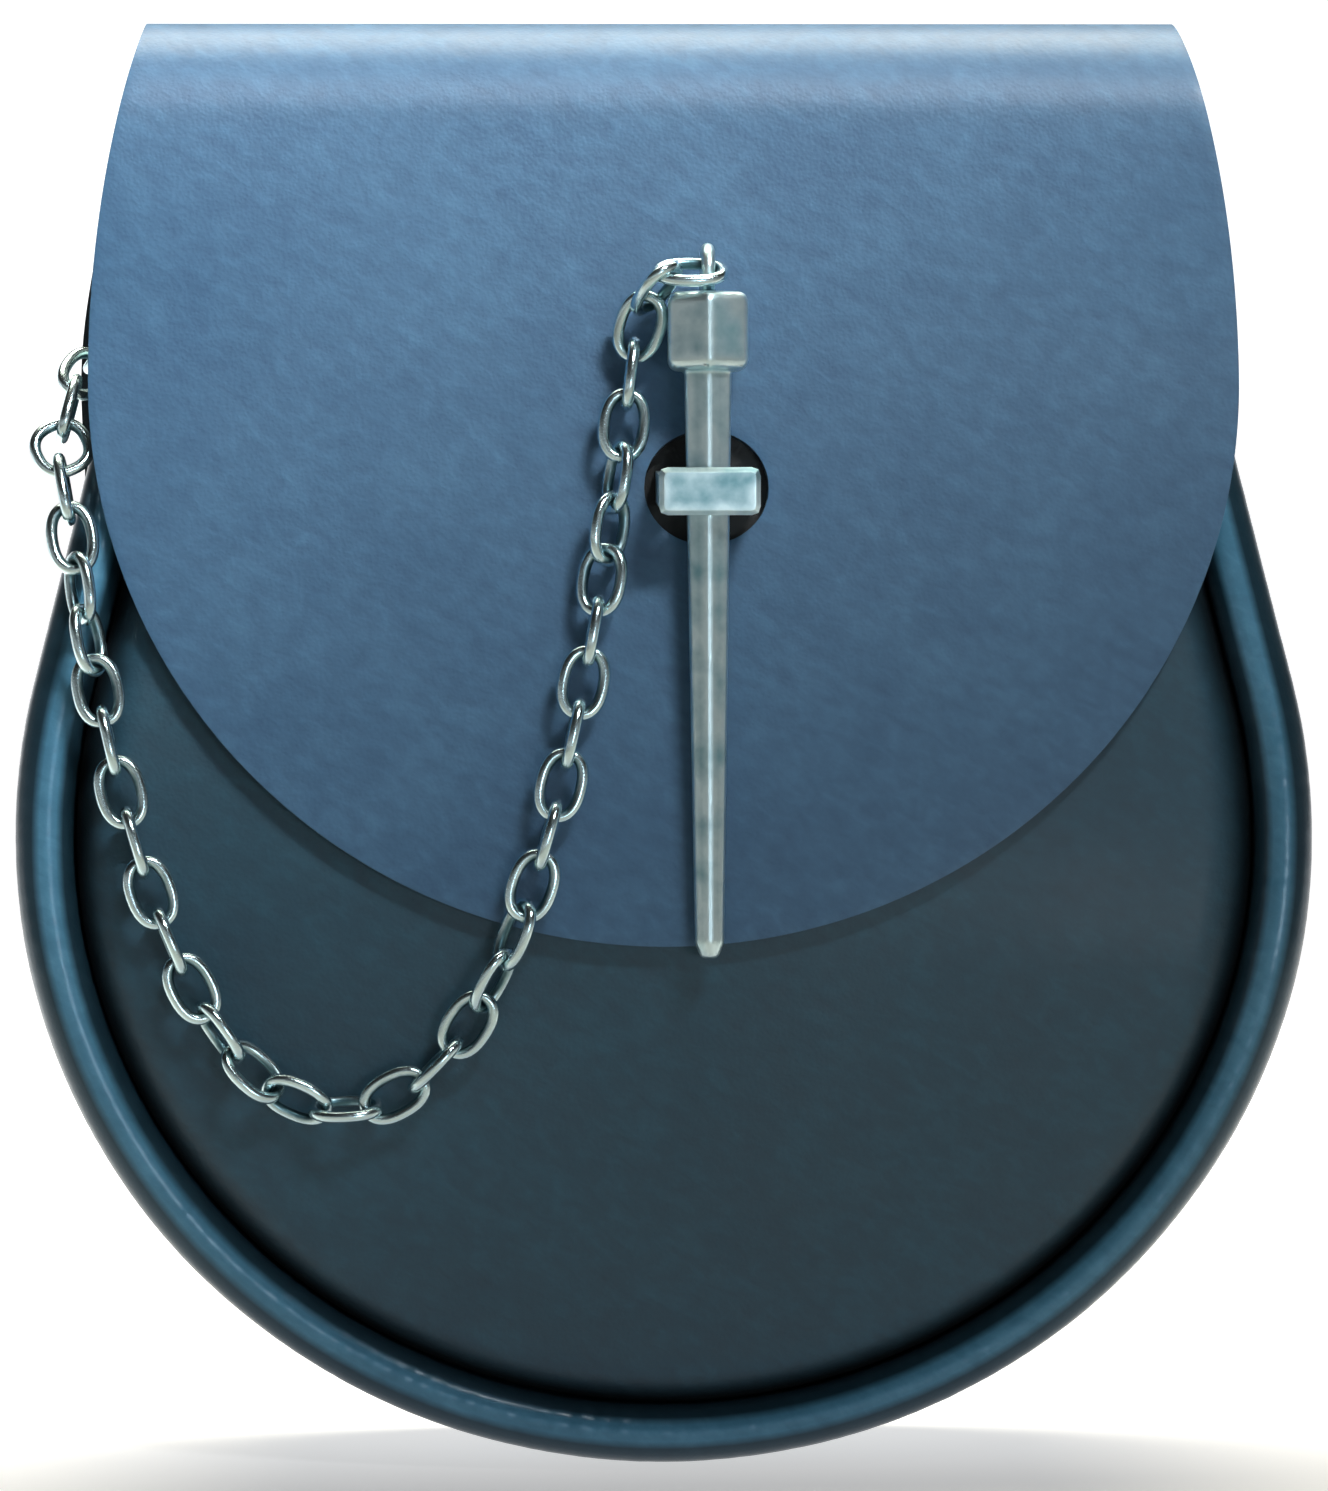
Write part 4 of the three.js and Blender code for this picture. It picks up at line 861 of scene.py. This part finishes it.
def make_belt_loop():
    flat = LOOP_HALF - LOOP_RAMP / 2
    end = LOOP_HALF + LOOP_TAB
    rise = LOOP_HALF + LOOP_EASE
    side = [
        (SEAM_GAP, end), (SEAM_GAP, rise), (TUNNEL_DEPTH, flat),
        (TUNNEL_DEPTH, -flat), (SEAM_GAP, -rise), (SEAM_GAP, -end),
    ]
    path = rounded_path(side, [2.4, 3.2, 3.2, 2.4], 6)
    filled = [path[0]]
    for before, after in zip(path, path[1:]):
        count = max(1, round(np.linalg.norm(after - before) / LOOP_CELL))
        filled += [before + (after - before) * step / count for step in range(1, count + 1)]
    across = np.linspace(-LOOP_WIDTH / 2, LOOP_WIDTH / 2, 41)
    out = np.array([place[0] for place in filled])
    up = np.array([place[1] for place in filled]) + LOOP_HEIGHT
    points = place_mm(across[None, :], -out[:, None], up[:, None])
    points[..., 1] += unevenness(points, 20, 0.2, 5) * MM
    faces = grid_faces(len(filled), len(across))
    piece = new_piece("belt_loop_leather", points, faces, [sewn_strap, flesh_side, burnished_edge])
    wall = piece.modifiers.new("wall", "SOLIDIFY")
    wall.thickness = LOOP_LEATHER * MM
    wall.offset = 1
    wall.material_offset = 0
    wall.material_offset_rim = 2
    return face_outwards(round_edges(piece, 0.5, 3, 50))


belt_loop = make_belt_loop()
print("belt loop", len(belt_loop.data.polygons), "faces")

# %% [markdown]
# ## Wear on metal edges
# Plating wears first along the edges that stand out, in a band about a millimetre wide, and dirt
# stays in the corners that point inwards. So the sharp edges of a plain shape are listed first.
# Then its corners are rounded, its faces are split small, and each point measures how far it is
# from the nearest sharp edge.

# %% Sharp edges and fine faces
SHARP = 22  # degrees between two faces from which their edge counts as sharp
FINE_FACE = 0.8
EDGE_WEAR = 0.28
HOLLOW_DIRT = 0.16


def sharp_edges(shape, outward):
    """Both ends of every sharp edge that points out, or in."""
    found = [
        [tuple(corner.co) for corner in edge.verts] for edge in shape.edges
        if len(edge.link_faces) == 2 and edge.calc_face_angle() > math.radians(SHARP)
        and edge.is_convex == outward
    ]
    return np.array(found).reshape(-1, 2, 3)


def distance_to(edges, places):
    """How far each place is from the nearest of these edges, in metres."""
    nearest = np.full(len(places), 1.0)
    for start, end in edges:
        along = end - start
        share = np.clip((places - start) @ along / max(along @ along, 1e-18), 0, 1)
        away = places - start - share[:, None] * along
        nearest = np.minimum(nearest, np.linalg.norm(away, axis=1))
    return nearest


def split_faces(piece):
    """Cuts a mesh's long edges in halves until its faces are fine."""
    shape = bmesh.new()
    shape.from_mesh(piece.data)
    for _ in range(8):
        bmesh.ops.triangulate(shape, faces=shape.faces)
        long_edges = [edge for edge in shape.edges if edge.calc_length() > FINE_FACE * MM]
        if not long_edges:
            break
        bmesh.ops.subdivide_edges(shape, edges=long_edges, cuts=1)
    bmesh.ops.triangulate(shape, faces=shape.faces)
    shape.to_mesh(piece.data)
    shape.free()
    piece.data.polygons.foreach_set("use_smooth", [True] * len(piece.data.polygons))


def wear_edges(piece, rounding_mm, band_mm, handled=0.22):
    """Rounds a plain metal shape's corners, and marks its wear. handled is the wear of a flat face."""
    shape = bmesh.new()
    shape.from_mesh(piece.data)
    proud, hollow = sharp_edges(shape, True), sharp_edges(shape, False)
    shape.free()
    round_edges(piece, rounding_mm, 3, SHARP)
    split_faces(piece)
    places = np.empty(len(piece.data.vertices) * 3)
    piece.data.vertices.foreach_get("co", places)
    places = places.reshape(-1, 3)
    bright = EDGE_WEAR * np.exp(-(distance_to(proud, places) / (band_mm * MM)) ** 2)
    dark = HOLLOW_DIRT * np.exp(-distance_to(hollow, places) / (0.5 * MM))
    store(piece, "wear", handled + bright - dark)
    print(piece.name, len(proud), "edges worn bright,", len(piece.data.polygons), "faces")
    return piece


# %% [markdown]
# ## Pin
# The pin is a hexagonal head on a long hexagonal shank that tapers to a blunt tip, with an eye on
# top for the chain. One edge of the hexagon faces forwards. It lies at a slope, because its head
# rests on the flap and its tip has to clear the flap's edge below. So the slope is worked out
# first, from how far the pin's middle line has to stay from the leather at each height.

# %% The pin's sizes and its slope
HEAD_FLATS = 11.5
HEAD_LENGTH = 11.3
HEAD_CHAMFER = 0.9
SHANK_LENGTH = 85.3
SHANK_TOP_FLATS = 6.8
SHANK_TIP_FLATS = 4.3
EYE_RADIUS = 3.0
EYE_WIRE = 2.0
HEAD_ABOVE_BAR = 17.5
PIN_TOP = CLOSURE_HEIGHT + HEAD_ABOVE_BAR
PIN_TIP = PIN_TOP - SHANK_LENGTH


def corner_radius(flats):
    """From a hexagon's middle to its corners, where flats is its width across two flat sides."""
    return flats / 2 / math.cos(math.pi / 6)


def solve_pin():
    """Depth of the pin's middle line at its tip, and its slope."""
    def need(height):
        under = panel_depth(CLOSURE_ACROSS, height)
        if height > -FLAP_TIP_DROP:
            under = flap_depth(CLOSURE_ACROSS, height, FOLD_END)
        share = (height - PIN_TIP) / SHANK_LENGTH
        flats = SHANK_TIP_FLATS + (SHANK_TOP_FLATS - SHANK_TIP_FLATS) * share
        if height >= PIN_TOP:
            flats = HEAD_FLATS
        return float(under) + corner_radius(flats) + 2 * SEAM_GAP

    def line(height):
        return tip + (head - tip) * (height - PIN_TIP) / SHANK_LENGTH

    head = need(PIN_TOP)
    tip = max(need(PIN_TIP), need(-FLAP_TIP_DROP + 2 * SEAM_GAP))
    heights = [PIN_TIP + (PIN_TOP + HEAD_LENGTH - PIN_TIP) * step / 40 for step in range(41)]
    lift = max(0.0, *[need(height) - line(height) for height in heights])
    return line(PIN_TIP) + lift, math.atan2(tip - head, SHANK_LENGTH)


TIP_DEPTH, PIN_TILT = solve_pin()
tip_place = Matrix.Translation(place_mm(CLOSURE_ACROSS, TIP_DEPTH, PIN_TIP))
PIN_FRAME = tip_place @ Matrix.Rotation(-PIN_TILT, 4, "X")
print("pin leans", round(math.degrees(PIN_TILT), 2), "degrees")

# %% [markdown]
# The pin stands upright on its tip while it is made: hexagons of points joined into a body, worn
# along its edges, and a ring of wire sunk a little into its top, as if soldered. Then it is leaned.

# %% Pin
TIP_BLUNT = 0.58  # radius of the tip's end, as a share of the shank's
TIP_TURN = 0.97
EYE_SUNK = 0.4  # how deep the eye's wire is sunk, as a share of its thickness


def torus_points(radius, wire, rings, sides):
    """A ring of wire in the YZ plane, in millimetres."""
    made = []
    for ring in range(rings):
        turn = 2 * math.pi * ring / rings
        for side in range(sides):
            round_wire = 2 * math.pi * side / sides
            reach = radius + wire / 2 * math.cos(round_wire)
            beside = wire / 2 * math.sin(round_wire)
            made.append((beside, reach * math.cos(turn), reach * math.sin(turn)))
    faces = []
    for ring in range(rings):
        for side in range(sides):
            here, there = ring * sides, (ring + 1) % rings * sides
            other = (side + 1) % sides
            faces.append((here + side, there + side, there + other, here + other))
    return made, faces


def make_pin():
    tip = corner_radius(SHANK_TIP_FLATS)
    head = corner_radius(HEAD_FLATS)
    profile = [
        (TIP_BLUNT * tip, 0), (TIP_TURN * tip, 0.9 * tip),
        (corner_radius(SHANK_TOP_FLATS), SHANK_LENGTH), (head - HEAD_CHAMFER, SHANK_LENGTH),
        (head, SHANK_LENGTH + HEAD_CHAMFER), (head, SHANK_LENGTH + HEAD_LENGTH - HEAD_CHAMFER),
        (head - HEAD_CHAMFER, SHANK_LENGTH + HEAD_LENGTH),
    ]
    points = [
        (radius * math.sin(math.pi / 3 * side), -radius * math.cos(math.pi / 3 * side), up)
        for radius, up in profile for side in range(6)
    ]
    faces = tube_faces(len(profile), 6)
    body = new_piece("closure_pin_metal", np.array(points) * MM, faces, [cast_nickel])
    wear_edges(face_outwards(body), 0.62, 1.4)
    eye_points, eye_faces = torus_points(EYE_RADIUS, EYE_WIRE, 48, 16)
    eye_height = SHANK_LENGTH + HEAD_LENGTH + EYE_RADIUS + (0.5 - EYE_SUNK) * EYE_WIRE
    lifted = np.array(eye_points) + [0, 0, eye_height]
    eye = face_outwards(new_piece("eye", lifted * MM, eye_faces, [cast_nickel]))
    store(eye, "wear", np.full(len(lifted), 0.7))
    joined = body.modifiers.new("soldered eye", "BOOLEAN")
    joined.operation = "UNION"
    joined.object = eye
    settle(body)
    bpy.data.objects.remove(eye)
    body.data.transform(PIN_FRAME)
    return body


pin = make_pin()

# %% [markdown]
# ## Staple and anchor
# The staple's bar was filed with a chamfer all round. Its measured solid already has the shape, so
# a copy is merged into clean faces and only its sharp corners are rounded.

# %% Staple and anchor plate
def polished_copy(node, name, rounding_mm, band_mm, handled):
    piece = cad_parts[node].copy()
    piece.data = piece.data.copy()
    for key in list(piece.keys()):
        del piece[key]
    piece.name = name
    piece.parent = None
    bpy.context.scene.collection.objects.link(piece)
    shape = bmesh.new()
    shape.from_mesh(piece.data)
    bmesh.ops.remove_doubles(shape, verts=shape.verts, dist=0.002 * MM)
    bmesh.ops.dissolve_limit(shape, angle_limit=math.radians(1), verts=shape.verts, edges=shape.edges)
    shape.to_mesh(piece.data)
    shape.free()
    piece.data.materials.clear()
    piece.data.materials.append(cast_nickel)
    return wear_edges(piece, rounding_mm, band_mm, handled)


staple = polished_copy("staple", "staple_metal", 0.45, 1.0, 0.14)
anchor = polished_copy("chain_anchor", "chain_anchor_metal", 0.15, 0.5, 0.3)

# %% [markdown]
# ## Chain
# A cable chain repeats one link, so Geometry Nodes make it. The frame's solids say where each link
# hangs: the longest spread of a link's points is its length, and the shortest is the way it faces.
# Those places become points with a turn, and the tree sets one bent wire on every point.

# %% Where each link hangs
def link_frame(node):
    """The middle and the turn of one solid link."""
    count = len(node.data.vertices)
    places = np.empty(count * 3)
    node.data.vertices.foreach_get("co", places)
    places = places.reshape(-1, 3)
    middle = places.mean(0)
    _, axes = np.linalg.eigh(np.cov((places - middle).T))
    along, wide = axes[:, 2], axes[:, 1]
    turned = Matrix((along, wide, np.cross(along, wide))).transposed()
    return middle, turned.to_euler()


link_names = sorted(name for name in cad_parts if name.startswith("link_"))
link_frames = [link_frame(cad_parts[name]) for name in link_names]
print(len(link_frames), "links and one round ring")

# %% [markdown]
# Chain and stitches both set one small shape on many points, so the ends of their trees are the
# same: the inputs, then Instance on Points with each point's own turn, and real faces with a
# material at the end, because an export knows no instances.

# %% Start and end of a tree that repeats a shape
def start_tree(name, sizes_mm, finish):
    """A tree with named inputs for its sizes and its material."""
    tree = bpy.data.node_groups.new(name, "GeometryNodeTree")
    face = tree.interface
    face.new_socket("Geometry", in_out="INPUT", socket_type="NodeSocketGeometry")
    for label, size in sizes_mm:
        socket = face.new_socket(label, in_out="INPUT", socket_type="NodeSocketFloat")
        socket.default_value = size * MM
    face.new_socket(finish, in_out="INPUT", socket_type="NodeSocketMaterial")
    face.new_socket("Geometry", in_out="OUTPUT", socket_type="NodeSocketGeometry")
    return tree, add_node(tree, "NodeGroupInput").outputs


def finish_tree(tree, start, shape, finish):
    """Sets the shape on every point, turned as the point says, as real faces with the material."""
    turn = add_node(tree, "GeometryNodeInputNamedAttribute", {"Name": "turn"}, data_type="FLOAT_VECTOR")
    turned = add_node(tree, "FunctionNodeEulerToRotation", {0: turn.outputs["Attribute"]})
    copies = add_node(tree, "GeometryNodeInstanceOnPoints", {
        "Points": start["Geometry"], "Instance": shape, "Rotation": turned.outputs[0],
    })
    real = add_node(tree, "GeometryNodeRealizeInstances", {0: copies.outputs[0]})
    smooth = add_node(tree, "GeometryNodeSetShadeSmooth", {0: real.outputs[0]})
    coated = add_node(tree, "GeometryNodeSetMaterial", {
        "Geometry": smooth.outputs[0], "Material": start[finish],
    })
    add_node(tree, "NodeGroupOutput", {0: coated.outputs[0]})
    return tree


def run_tree(name, tree, places, turns, inputs):
    """Makes points with turns, runs a tree on them with these inputs, and keeps the plain mesh."""
    mesh = bpy.data.meshes.new(name)
    mesh.from_pydata([tuple(place) for place in places], [], [])
    turn = mesh.attributes.new("turn", "FLOAT_VECTOR", "POINT")
    turn.data.foreach_set("vector", np.array(turns, np.float32).ravel())
    piece = bpy.data.objects.new(name, mesh)
    bpy.context.scene.collection.objects.link(piece)
    modifier = piece.modifiers.new("repeat", "NODES")
    modifier.node_group = tree
    for item in tree.interface.items_tree:
        if item.in_out == "INPUT" and item.name in inputs:
            modifier[item.identifier] = inputs[item.name]
    return settle(piece)


# %% [markdown]
# A link is a ring of wire pulled long: a circle whose every point is pushed out towards a rounded
# rectangle, scaled to the link's length and width, and given the wire's round section. Each link is
# painted brighter on its outside, as highlight, and darker on its inside, as shade.

# %% Cable chain
LINK_STEPS = 44
WIRE_SIDES = 14
LINK_SQUARENESS = 2.35  # power of the outline, where 2 is an oval and more is squarer
LINK_LENGTH = 9.4  # from the middle of the wire to the middle of the wire
LINK_WIDTH = 5.9
LINK_WIRE = 1.75
RING_WIDTH = 7.6
RING_WIRE = 1.7


def link_tree():
    tree, start = start_tree(
        "cable chain", [("Length", LINK_LENGTH), ("Width", LINK_WIDTH), ("Wire", LINK_WIRE)], "Metal",
    )
    circle = add_node(tree, "GeometryNodeCurvePrimitiveCircle", {"Resolution": LINK_STEPS, "Radius": 1.0})
    position = add_node(tree, "GeometryNodeInputPosition")
    place = add_node(tree, "ShaderNodeSeparateXYZ", {0: position.outputs[0]})
    pushed = []
    for axis, size in (("X", "Length"), ("Y", "Width")):
        value = place.outputs[axis]
        distance = add_node(tree, "ShaderNodeMath", {0: value}, operation="ABSOLUTE")
        side = add_node(tree, "ShaderNodeMath", {0: value}, operation="SIGN")
        squarer = add_node(tree, "ShaderNodeMath", {
            0: distance.outputs[0], 1: 2 / LINK_SQUARENESS,
        }, operation="POWER")
        signed = add_node(tree, "ShaderNodeMath", {
            0: squarer.outputs[0], 1: side.outputs[0],
        }, operation="MULTIPLY")
        half = add_node(tree, "ShaderNodeMath", {0: start[size], 1: 0.5}, operation="MULTIPLY")
        pushed.append(add_node(tree, "ShaderNodeMath", {
            0: signed.outputs[0], 1: half.outputs[0],
        }, operation="MULTIPLY").outputs[0])
    outline = add_node(tree, "ShaderNodeCombineXYZ", {0: pushed[0], 1: pushed[1]})
    bent = add_node(tree, "GeometryNodeSetPosition", {
        "Geometry": circle.outputs["Curve"], "Position": outline.outputs[0],
    })
    thick = add_node(tree, "ShaderNodeMath", {0: start["Wire"], 1: 0.5}, operation="MULTIPLY")
    section = add_node(tree, "GeometryNodeCurvePrimitiveCircle", {
        "Resolution": WIRE_SIDES, "Radius": thick.outputs[0],
    })
    wire = add_node(tree, "GeometryNodeCurveToMesh", {
        "Curve": bent.outputs[0], "Profile Curve": section.outputs[0],
    })
    return finish_tree(tree, start, wire.outputs[0], "Metal")


def paint_link_highlight_and_shade(wires):
    """Paints each link brighter on its outside, as highlight, and darker on its inside, as shade."""
    mesh = wires.data
    places = np.empty(len(mesh.vertices) * 3)
    normals = np.empty(len(mesh.vertices) * 3)
    mesh.vertices.foreach_get("co", places)
    mesh.vertices.foreach_get("normal", normals)
    places, normals = places.reshape(-1, 3), normals.reshape(-1, 3)
    each = LINK_STEPS * WIRE_SIDES
    middles = np.repeat(places.reshape(-1, each, 3).mean(1), each, axis=0)
    out = places - middles
    out /= np.linalg.norm(out, axis=1)[:, None]
    # painted highlight on the outside of each link, painted shade on its inside, kept in the "wear" value
    store(wires, "wear", 0.42 + 0.5 * np.einsum("ij,ij->i", out, normals))


cable = link_tree()
link_places = [place for place, _ in link_frames]
link_turns = [tuple(turn) for _, turn in link_frames]
chain = run_tree("cable_chain", cable, link_places, link_turns, {
    "Length": LINK_LENGTH * MM, "Width": LINK_WIDTH * MM, "Wire": LINK_WIRE * MM, "Metal": wire_nickel,
})
ring_place, ring_turn = link_frame(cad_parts["end_ring"])
end_ring = run_tree("round_end_ring", cable, [ring_place], [tuple(ring_turn)], {
    "Length": RING_WIDTH * MM, "Width": RING_WIDTH * MM, "Wire": RING_WIRE * MM, "Metal": wire_nickel,
})
for wires in (chain, end_ring):
    paint_link_highlight_and_shade(wires)
    print(wires.name, len(wires.data.polygons), "faces")

# %% [markdown]
# ## Stitches
# Saddle stitches are short, even and a little sunk. A second tree sets one small stitch, a ball
# drawn out to the stitch's length, on each point, turned along its seam.

# %% Back seam
STITCH_SPACING = 3.4
STITCH_SLANT = 0.22  # in radians, from the seam's direction
THREAD = 0.8
SEAM_INSET = 5.0
SEAM_SUNK = 0.12


def stitch_tree():
    tree, start = start_tree("saddle stitches", [("Stitch", 2.6), ("Thread", THREAD)], "Linen")
    size = add_node(tree, "ShaderNodeCombineXYZ", {
        0: start["Stitch"], 1: start["Thread"], 2: start["Thread"],
    })
    ball = add_node(tree, "GeometryNodeMeshUVSphere", {"Segments": 8, "Rings": 7, "Radius": 0.5})
    drawn = add_node(tree, "GeometryNodeTransform", {
        "Geometry": ball.outputs["Mesh"], "Scale": size.outputs[0],
    })
    return finish_tree(tree, start, drawn.outputs[0], "Linen")


def along_line(places, spacing):
    """Evenly spaced middles and directions of stitches along a polyline, in metres."""
    places = np.asarray(places, float)
    steps = np.linalg.norm(np.diff(places, axis=0), axis=1)
    reached = np.concatenate([[0], np.cumsum(steps)])
    count = max(1, round(reached[-1] / spacing))
    wanted = (np.arange(count) + 0.5) * reached[-1] / count
    middles, ahead = (
        np.stack([np.interp(wanted + step, reached, places[:, axis]) for axis in range(3)], axis=1)
        for step in (0, spacing / 4)
    )
    return middles, ahead - middles


def sew(name, places, directions, stitch_mm):
    """Sews stitches on the back face, with the small slant of saddle stitching."""
    angles = [math.atan2(way[2], way[0]) + STITCH_SLANT for way in directions]
    print(name, len(places), "stitches")
    return run_tree(name, saddle, places, [(0.0, -angle, 0.0) for angle in angles], {
        "Stitch": stitch_mm * MM, "Thread": THREAD * MM, "Linen": waxed_thread,
    })


saddle = stitch_tree()
seam_line = []
for station in stations(PANEL_TOP - PIPING_RADIUS, 40, 160):
    across, height = station_place(station, SEAM_INSET)
    seam_line.append(place_mm(across, -SEAM_SUNK, height))
seam_places, seam_ways = along_line(seam_line, STITCH_SPACING * MM)
back_stitches = sew("back_seam_stitches", seam_places, seam_ways, 2.7)

# %% [markdown]
# Each tab of the belt loop is sewn down with a box of stitches, a few millimetres inside its edges.

# %% Stitches of the belt loop
BOX_SIDE = LOOP_WIDTH / 2 - 2.8
BOX_NEAR = LOOP_HALF + 3.6
BOX_FAR = LOOP_HALF + LOOP_TAB - 2.6

tab_out = -(SEAM_GAP + LOOP_LEATHER + 0.1)
tab_places, tab_ways = [], []
for sign in (1, -1):
    side, near, far = BOX_SIDE, BOX_NEAR, BOX_FAR
    box = [(-side, near), (side, near), (side, far), (-side, far), (-side, near)]
    corners = [place_mm(across, tab_out, LOOP_HEIGHT + sign * up) for across, up in box]
    for start, end in zip(corners, corners[1:]):
        places, ways = along_line([start, end], STITCH_SPACING * MM)
        tab_places += list(places)
        tab_ways += list(ways)
loop_stitches = sew("belt_loop_stitches", tab_places, tab_ways, 2.6)

# %% [markdown]
# ## Ride the body and replace the solids
# Every fine piece rides on the pouch's one body and hides the plain solids that it replaces.

# %% Ride and replace
for piece, slot, nodes in (
    (back_and_flap, "flap_leather", ["back_and_flap"]),
    (front_panel, "panel_leather", ["front_panel"]),
    (gusset, "panel_leather", ["gusset"]),
    (piping, "piping_leather", ["front_piping"]),
    (belt_loop, "panel_leather", ["belt_loop"]),
    (staple, "antique_metal", ["staple"]),
    (pin, "antique_metal", ["closure_pin"]),
    (anchor, "antique_metal", ["chain_anchor"]),
    (chain, "antique_metal", link_names),
    (end_ring, "antique_metal", ["end_ring"]),
    (back_stitches, "panel_leather", []),
    (loop_stitches, "panel_leather", []),
):
    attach(piece, "root")
    if nodes:
        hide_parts(*nodes)
    print(piece.name, "stands for", len(nodes), "solids")

# %% [markdown]
# ## Floor and light
# The pouch stands over a wide sheet of pale paper. Behind the pouch, and far in front of it, the
# paper glows a little as if lamps were turned on it, so that it looks white from most sides.

# %% Paper floor
FLOOR_GAP = 1.2 * MM
FLOOR_HALF = 4.0


def paper_floor():
    floor = frame_low.z - FLOOR_GAP
    material, tree, output, place = new_material("pale_paper")
    behind = add_node(tree, "ShaderNodeSeparateXYZ", {0: place}).outputs["Y"]
    near = add_node(tree, "ShaderNodeMapRange", {
        "Value": behind, "From Min": -0.2, "From Max": 0.1, "To Min": 0.0, "To Max": 1.0,
    }, interpolation_type="SMOOTHSTEP")
    far = add_node(tree, "ShaderNodeMapRange", {
        "Value": behind, "From Min": -0.6, "From Max": -1.5, "To Min": 0.0, "To Max": 0.75,
    }, interpolation_type="SMOOTHSTEP")
    glow = add_node(tree, "ShaderNodeMath", {0: near.outputs[0], 1: far.outputs[0]}, operation="ADD")
    paper = add_node(tree, "ShaderNodeBsdfPrincipled", {
        "Base Color": linear("#c6c7c8"), "Roughness": 0.9, "Specular IOR Level": 0.2,
        "Emission Color": linear("#ffffff"), "Emission Strength": glow.outputs["Value"],
    })
    tree.links.new(paper.outputs["BSDF"], output.inputs["Surface"])
    corners = [
        (x * FLOOR_HALF, y * FLOOR_HALF, floor) for x, y in ((-1, -1), (1, -1), (1, 1), (-1, 1))
    ]
    new_piece("paper_floor", corners, [(0, 1, 2, 3)], [material])
    print("floor", round(1000 * (frame_low.z - floor), 1), "mm below the pouch")


paper_floor()

# %% [markdown]
# The room is pale only in a band round the horizon, as in a studio with white walls and a dark
# ceiling: the walls give the metal something bright to reflect, and the dark ceiling keeps the
# leather deep in colour. A wide lamp above and a little behind draws the bright band on the fold. A
# strip in front is narrowed by a grid and points above the fold, so its light fades from the flap's
# top down to its tip. A small lamp low in front fills in the panel and the piping.

# %% Lights and room
def soft_light(name, place, aim, width, height, watts, hex_colour, spread_degrees):
    """An area lamp. A narrow spread keeps its light in a beam, as a grid before a lamp does."""
    data = bpy.data.lights.new(name, "AREA")
    data.shape = "RECTANGLE"
    data.size, data.size_y = width, height
    data.energy = watts
    data.spread = math.radians(spread_degrees)
    data.color = linear(hex_colour)[:3]
    lamp = bpy.data.objects.new(name, data)
    lamp.location = place
    lamp.rotation_euler = (Vector(place) - Vector(aim)).to_track_quat("Z", "Y").to_euler()
    bpy.context.scene.collection.objects.link(lamp)
    print(name, watts, "W")


def pale_room():
    room = bpy.data.worlds.new("pale_room")
    room.use_nodes = True
    tree = room.node_tree
    tree.nodes.clear()
    direction = add_node(tree, "ShaderNodeTexCoord").outputs["Generated"]
    look = add_node(tree, "ShaderNodeSeparateXYZ", {0: direction})
    height = add_node(tree, "ShaderNodeMapRange", {
        "Value": look.outputs["Z"], "From Min": 0.1, "From Max": 0.34, "To Min": 1.0, "To Max": 0.04,
    }, interpolation_type="SMOOTHSTEP")
    ahead = add_node(tree, "ShaderNodeMapRange", {
        "Value": look.outputs["Y"], "From Min": 0.6, "From Max": 0.95, "To Min": 0.19, "To Max": 1.0,
    }, interpolation_type="SMOOTHSTEP")
    left = add_node(tree, "ShaderNodeMapRange", {
        "Value": look.outputs["X"], "From Min": -0.6, "From Max": 0.3, "To Min": 1.8, "To Max": 1.1,
    }, interpolation_type="SMOOTHSTEP")
    walls = add_node(tree, "ShaderNodeMath", {
        0: ahead.outputs[0], 1: left.outputs[0],
    }, operation="MULTIPLY")
    strength = add_node(tree, "ShaderNodeMath", {
        0: walls.outputs[0], 1: height.outputs[0],
    }, operation="MULTIPLY")
    light = add_node(tree, "ShaderNodeBackground", {
        "Color": linear("#fdfeff"), "Strength": strength.outputs[0],
    })
    output = add_node(tree, "ShaderNodeOutputWorld")
    tree.links.new(light.outputs["Background"], output.inputs["Surface"])
    return room


soft_light("fold_light", (0.0, 0.25, 0.7), (0, -0.02, 0.05), 1.0, 0.5, 3.5, "#fff8e4", 80)
soft_light("flap_light", (0.22, -0.5, 0.58), (0, -0.03, 0.14), 0.55, 0.2, 0.9, "#fbfdff", 22)
soft_light("front_light", (0.3, -1.12, -0.02), (0, -0.03, -0.08), 0.2, 0.2, 0.6, "#d6e6f2", 120)
bpy.context.scene.world = pale_room()
bpy.context.scene.view_settings.view_transform = "Standard"
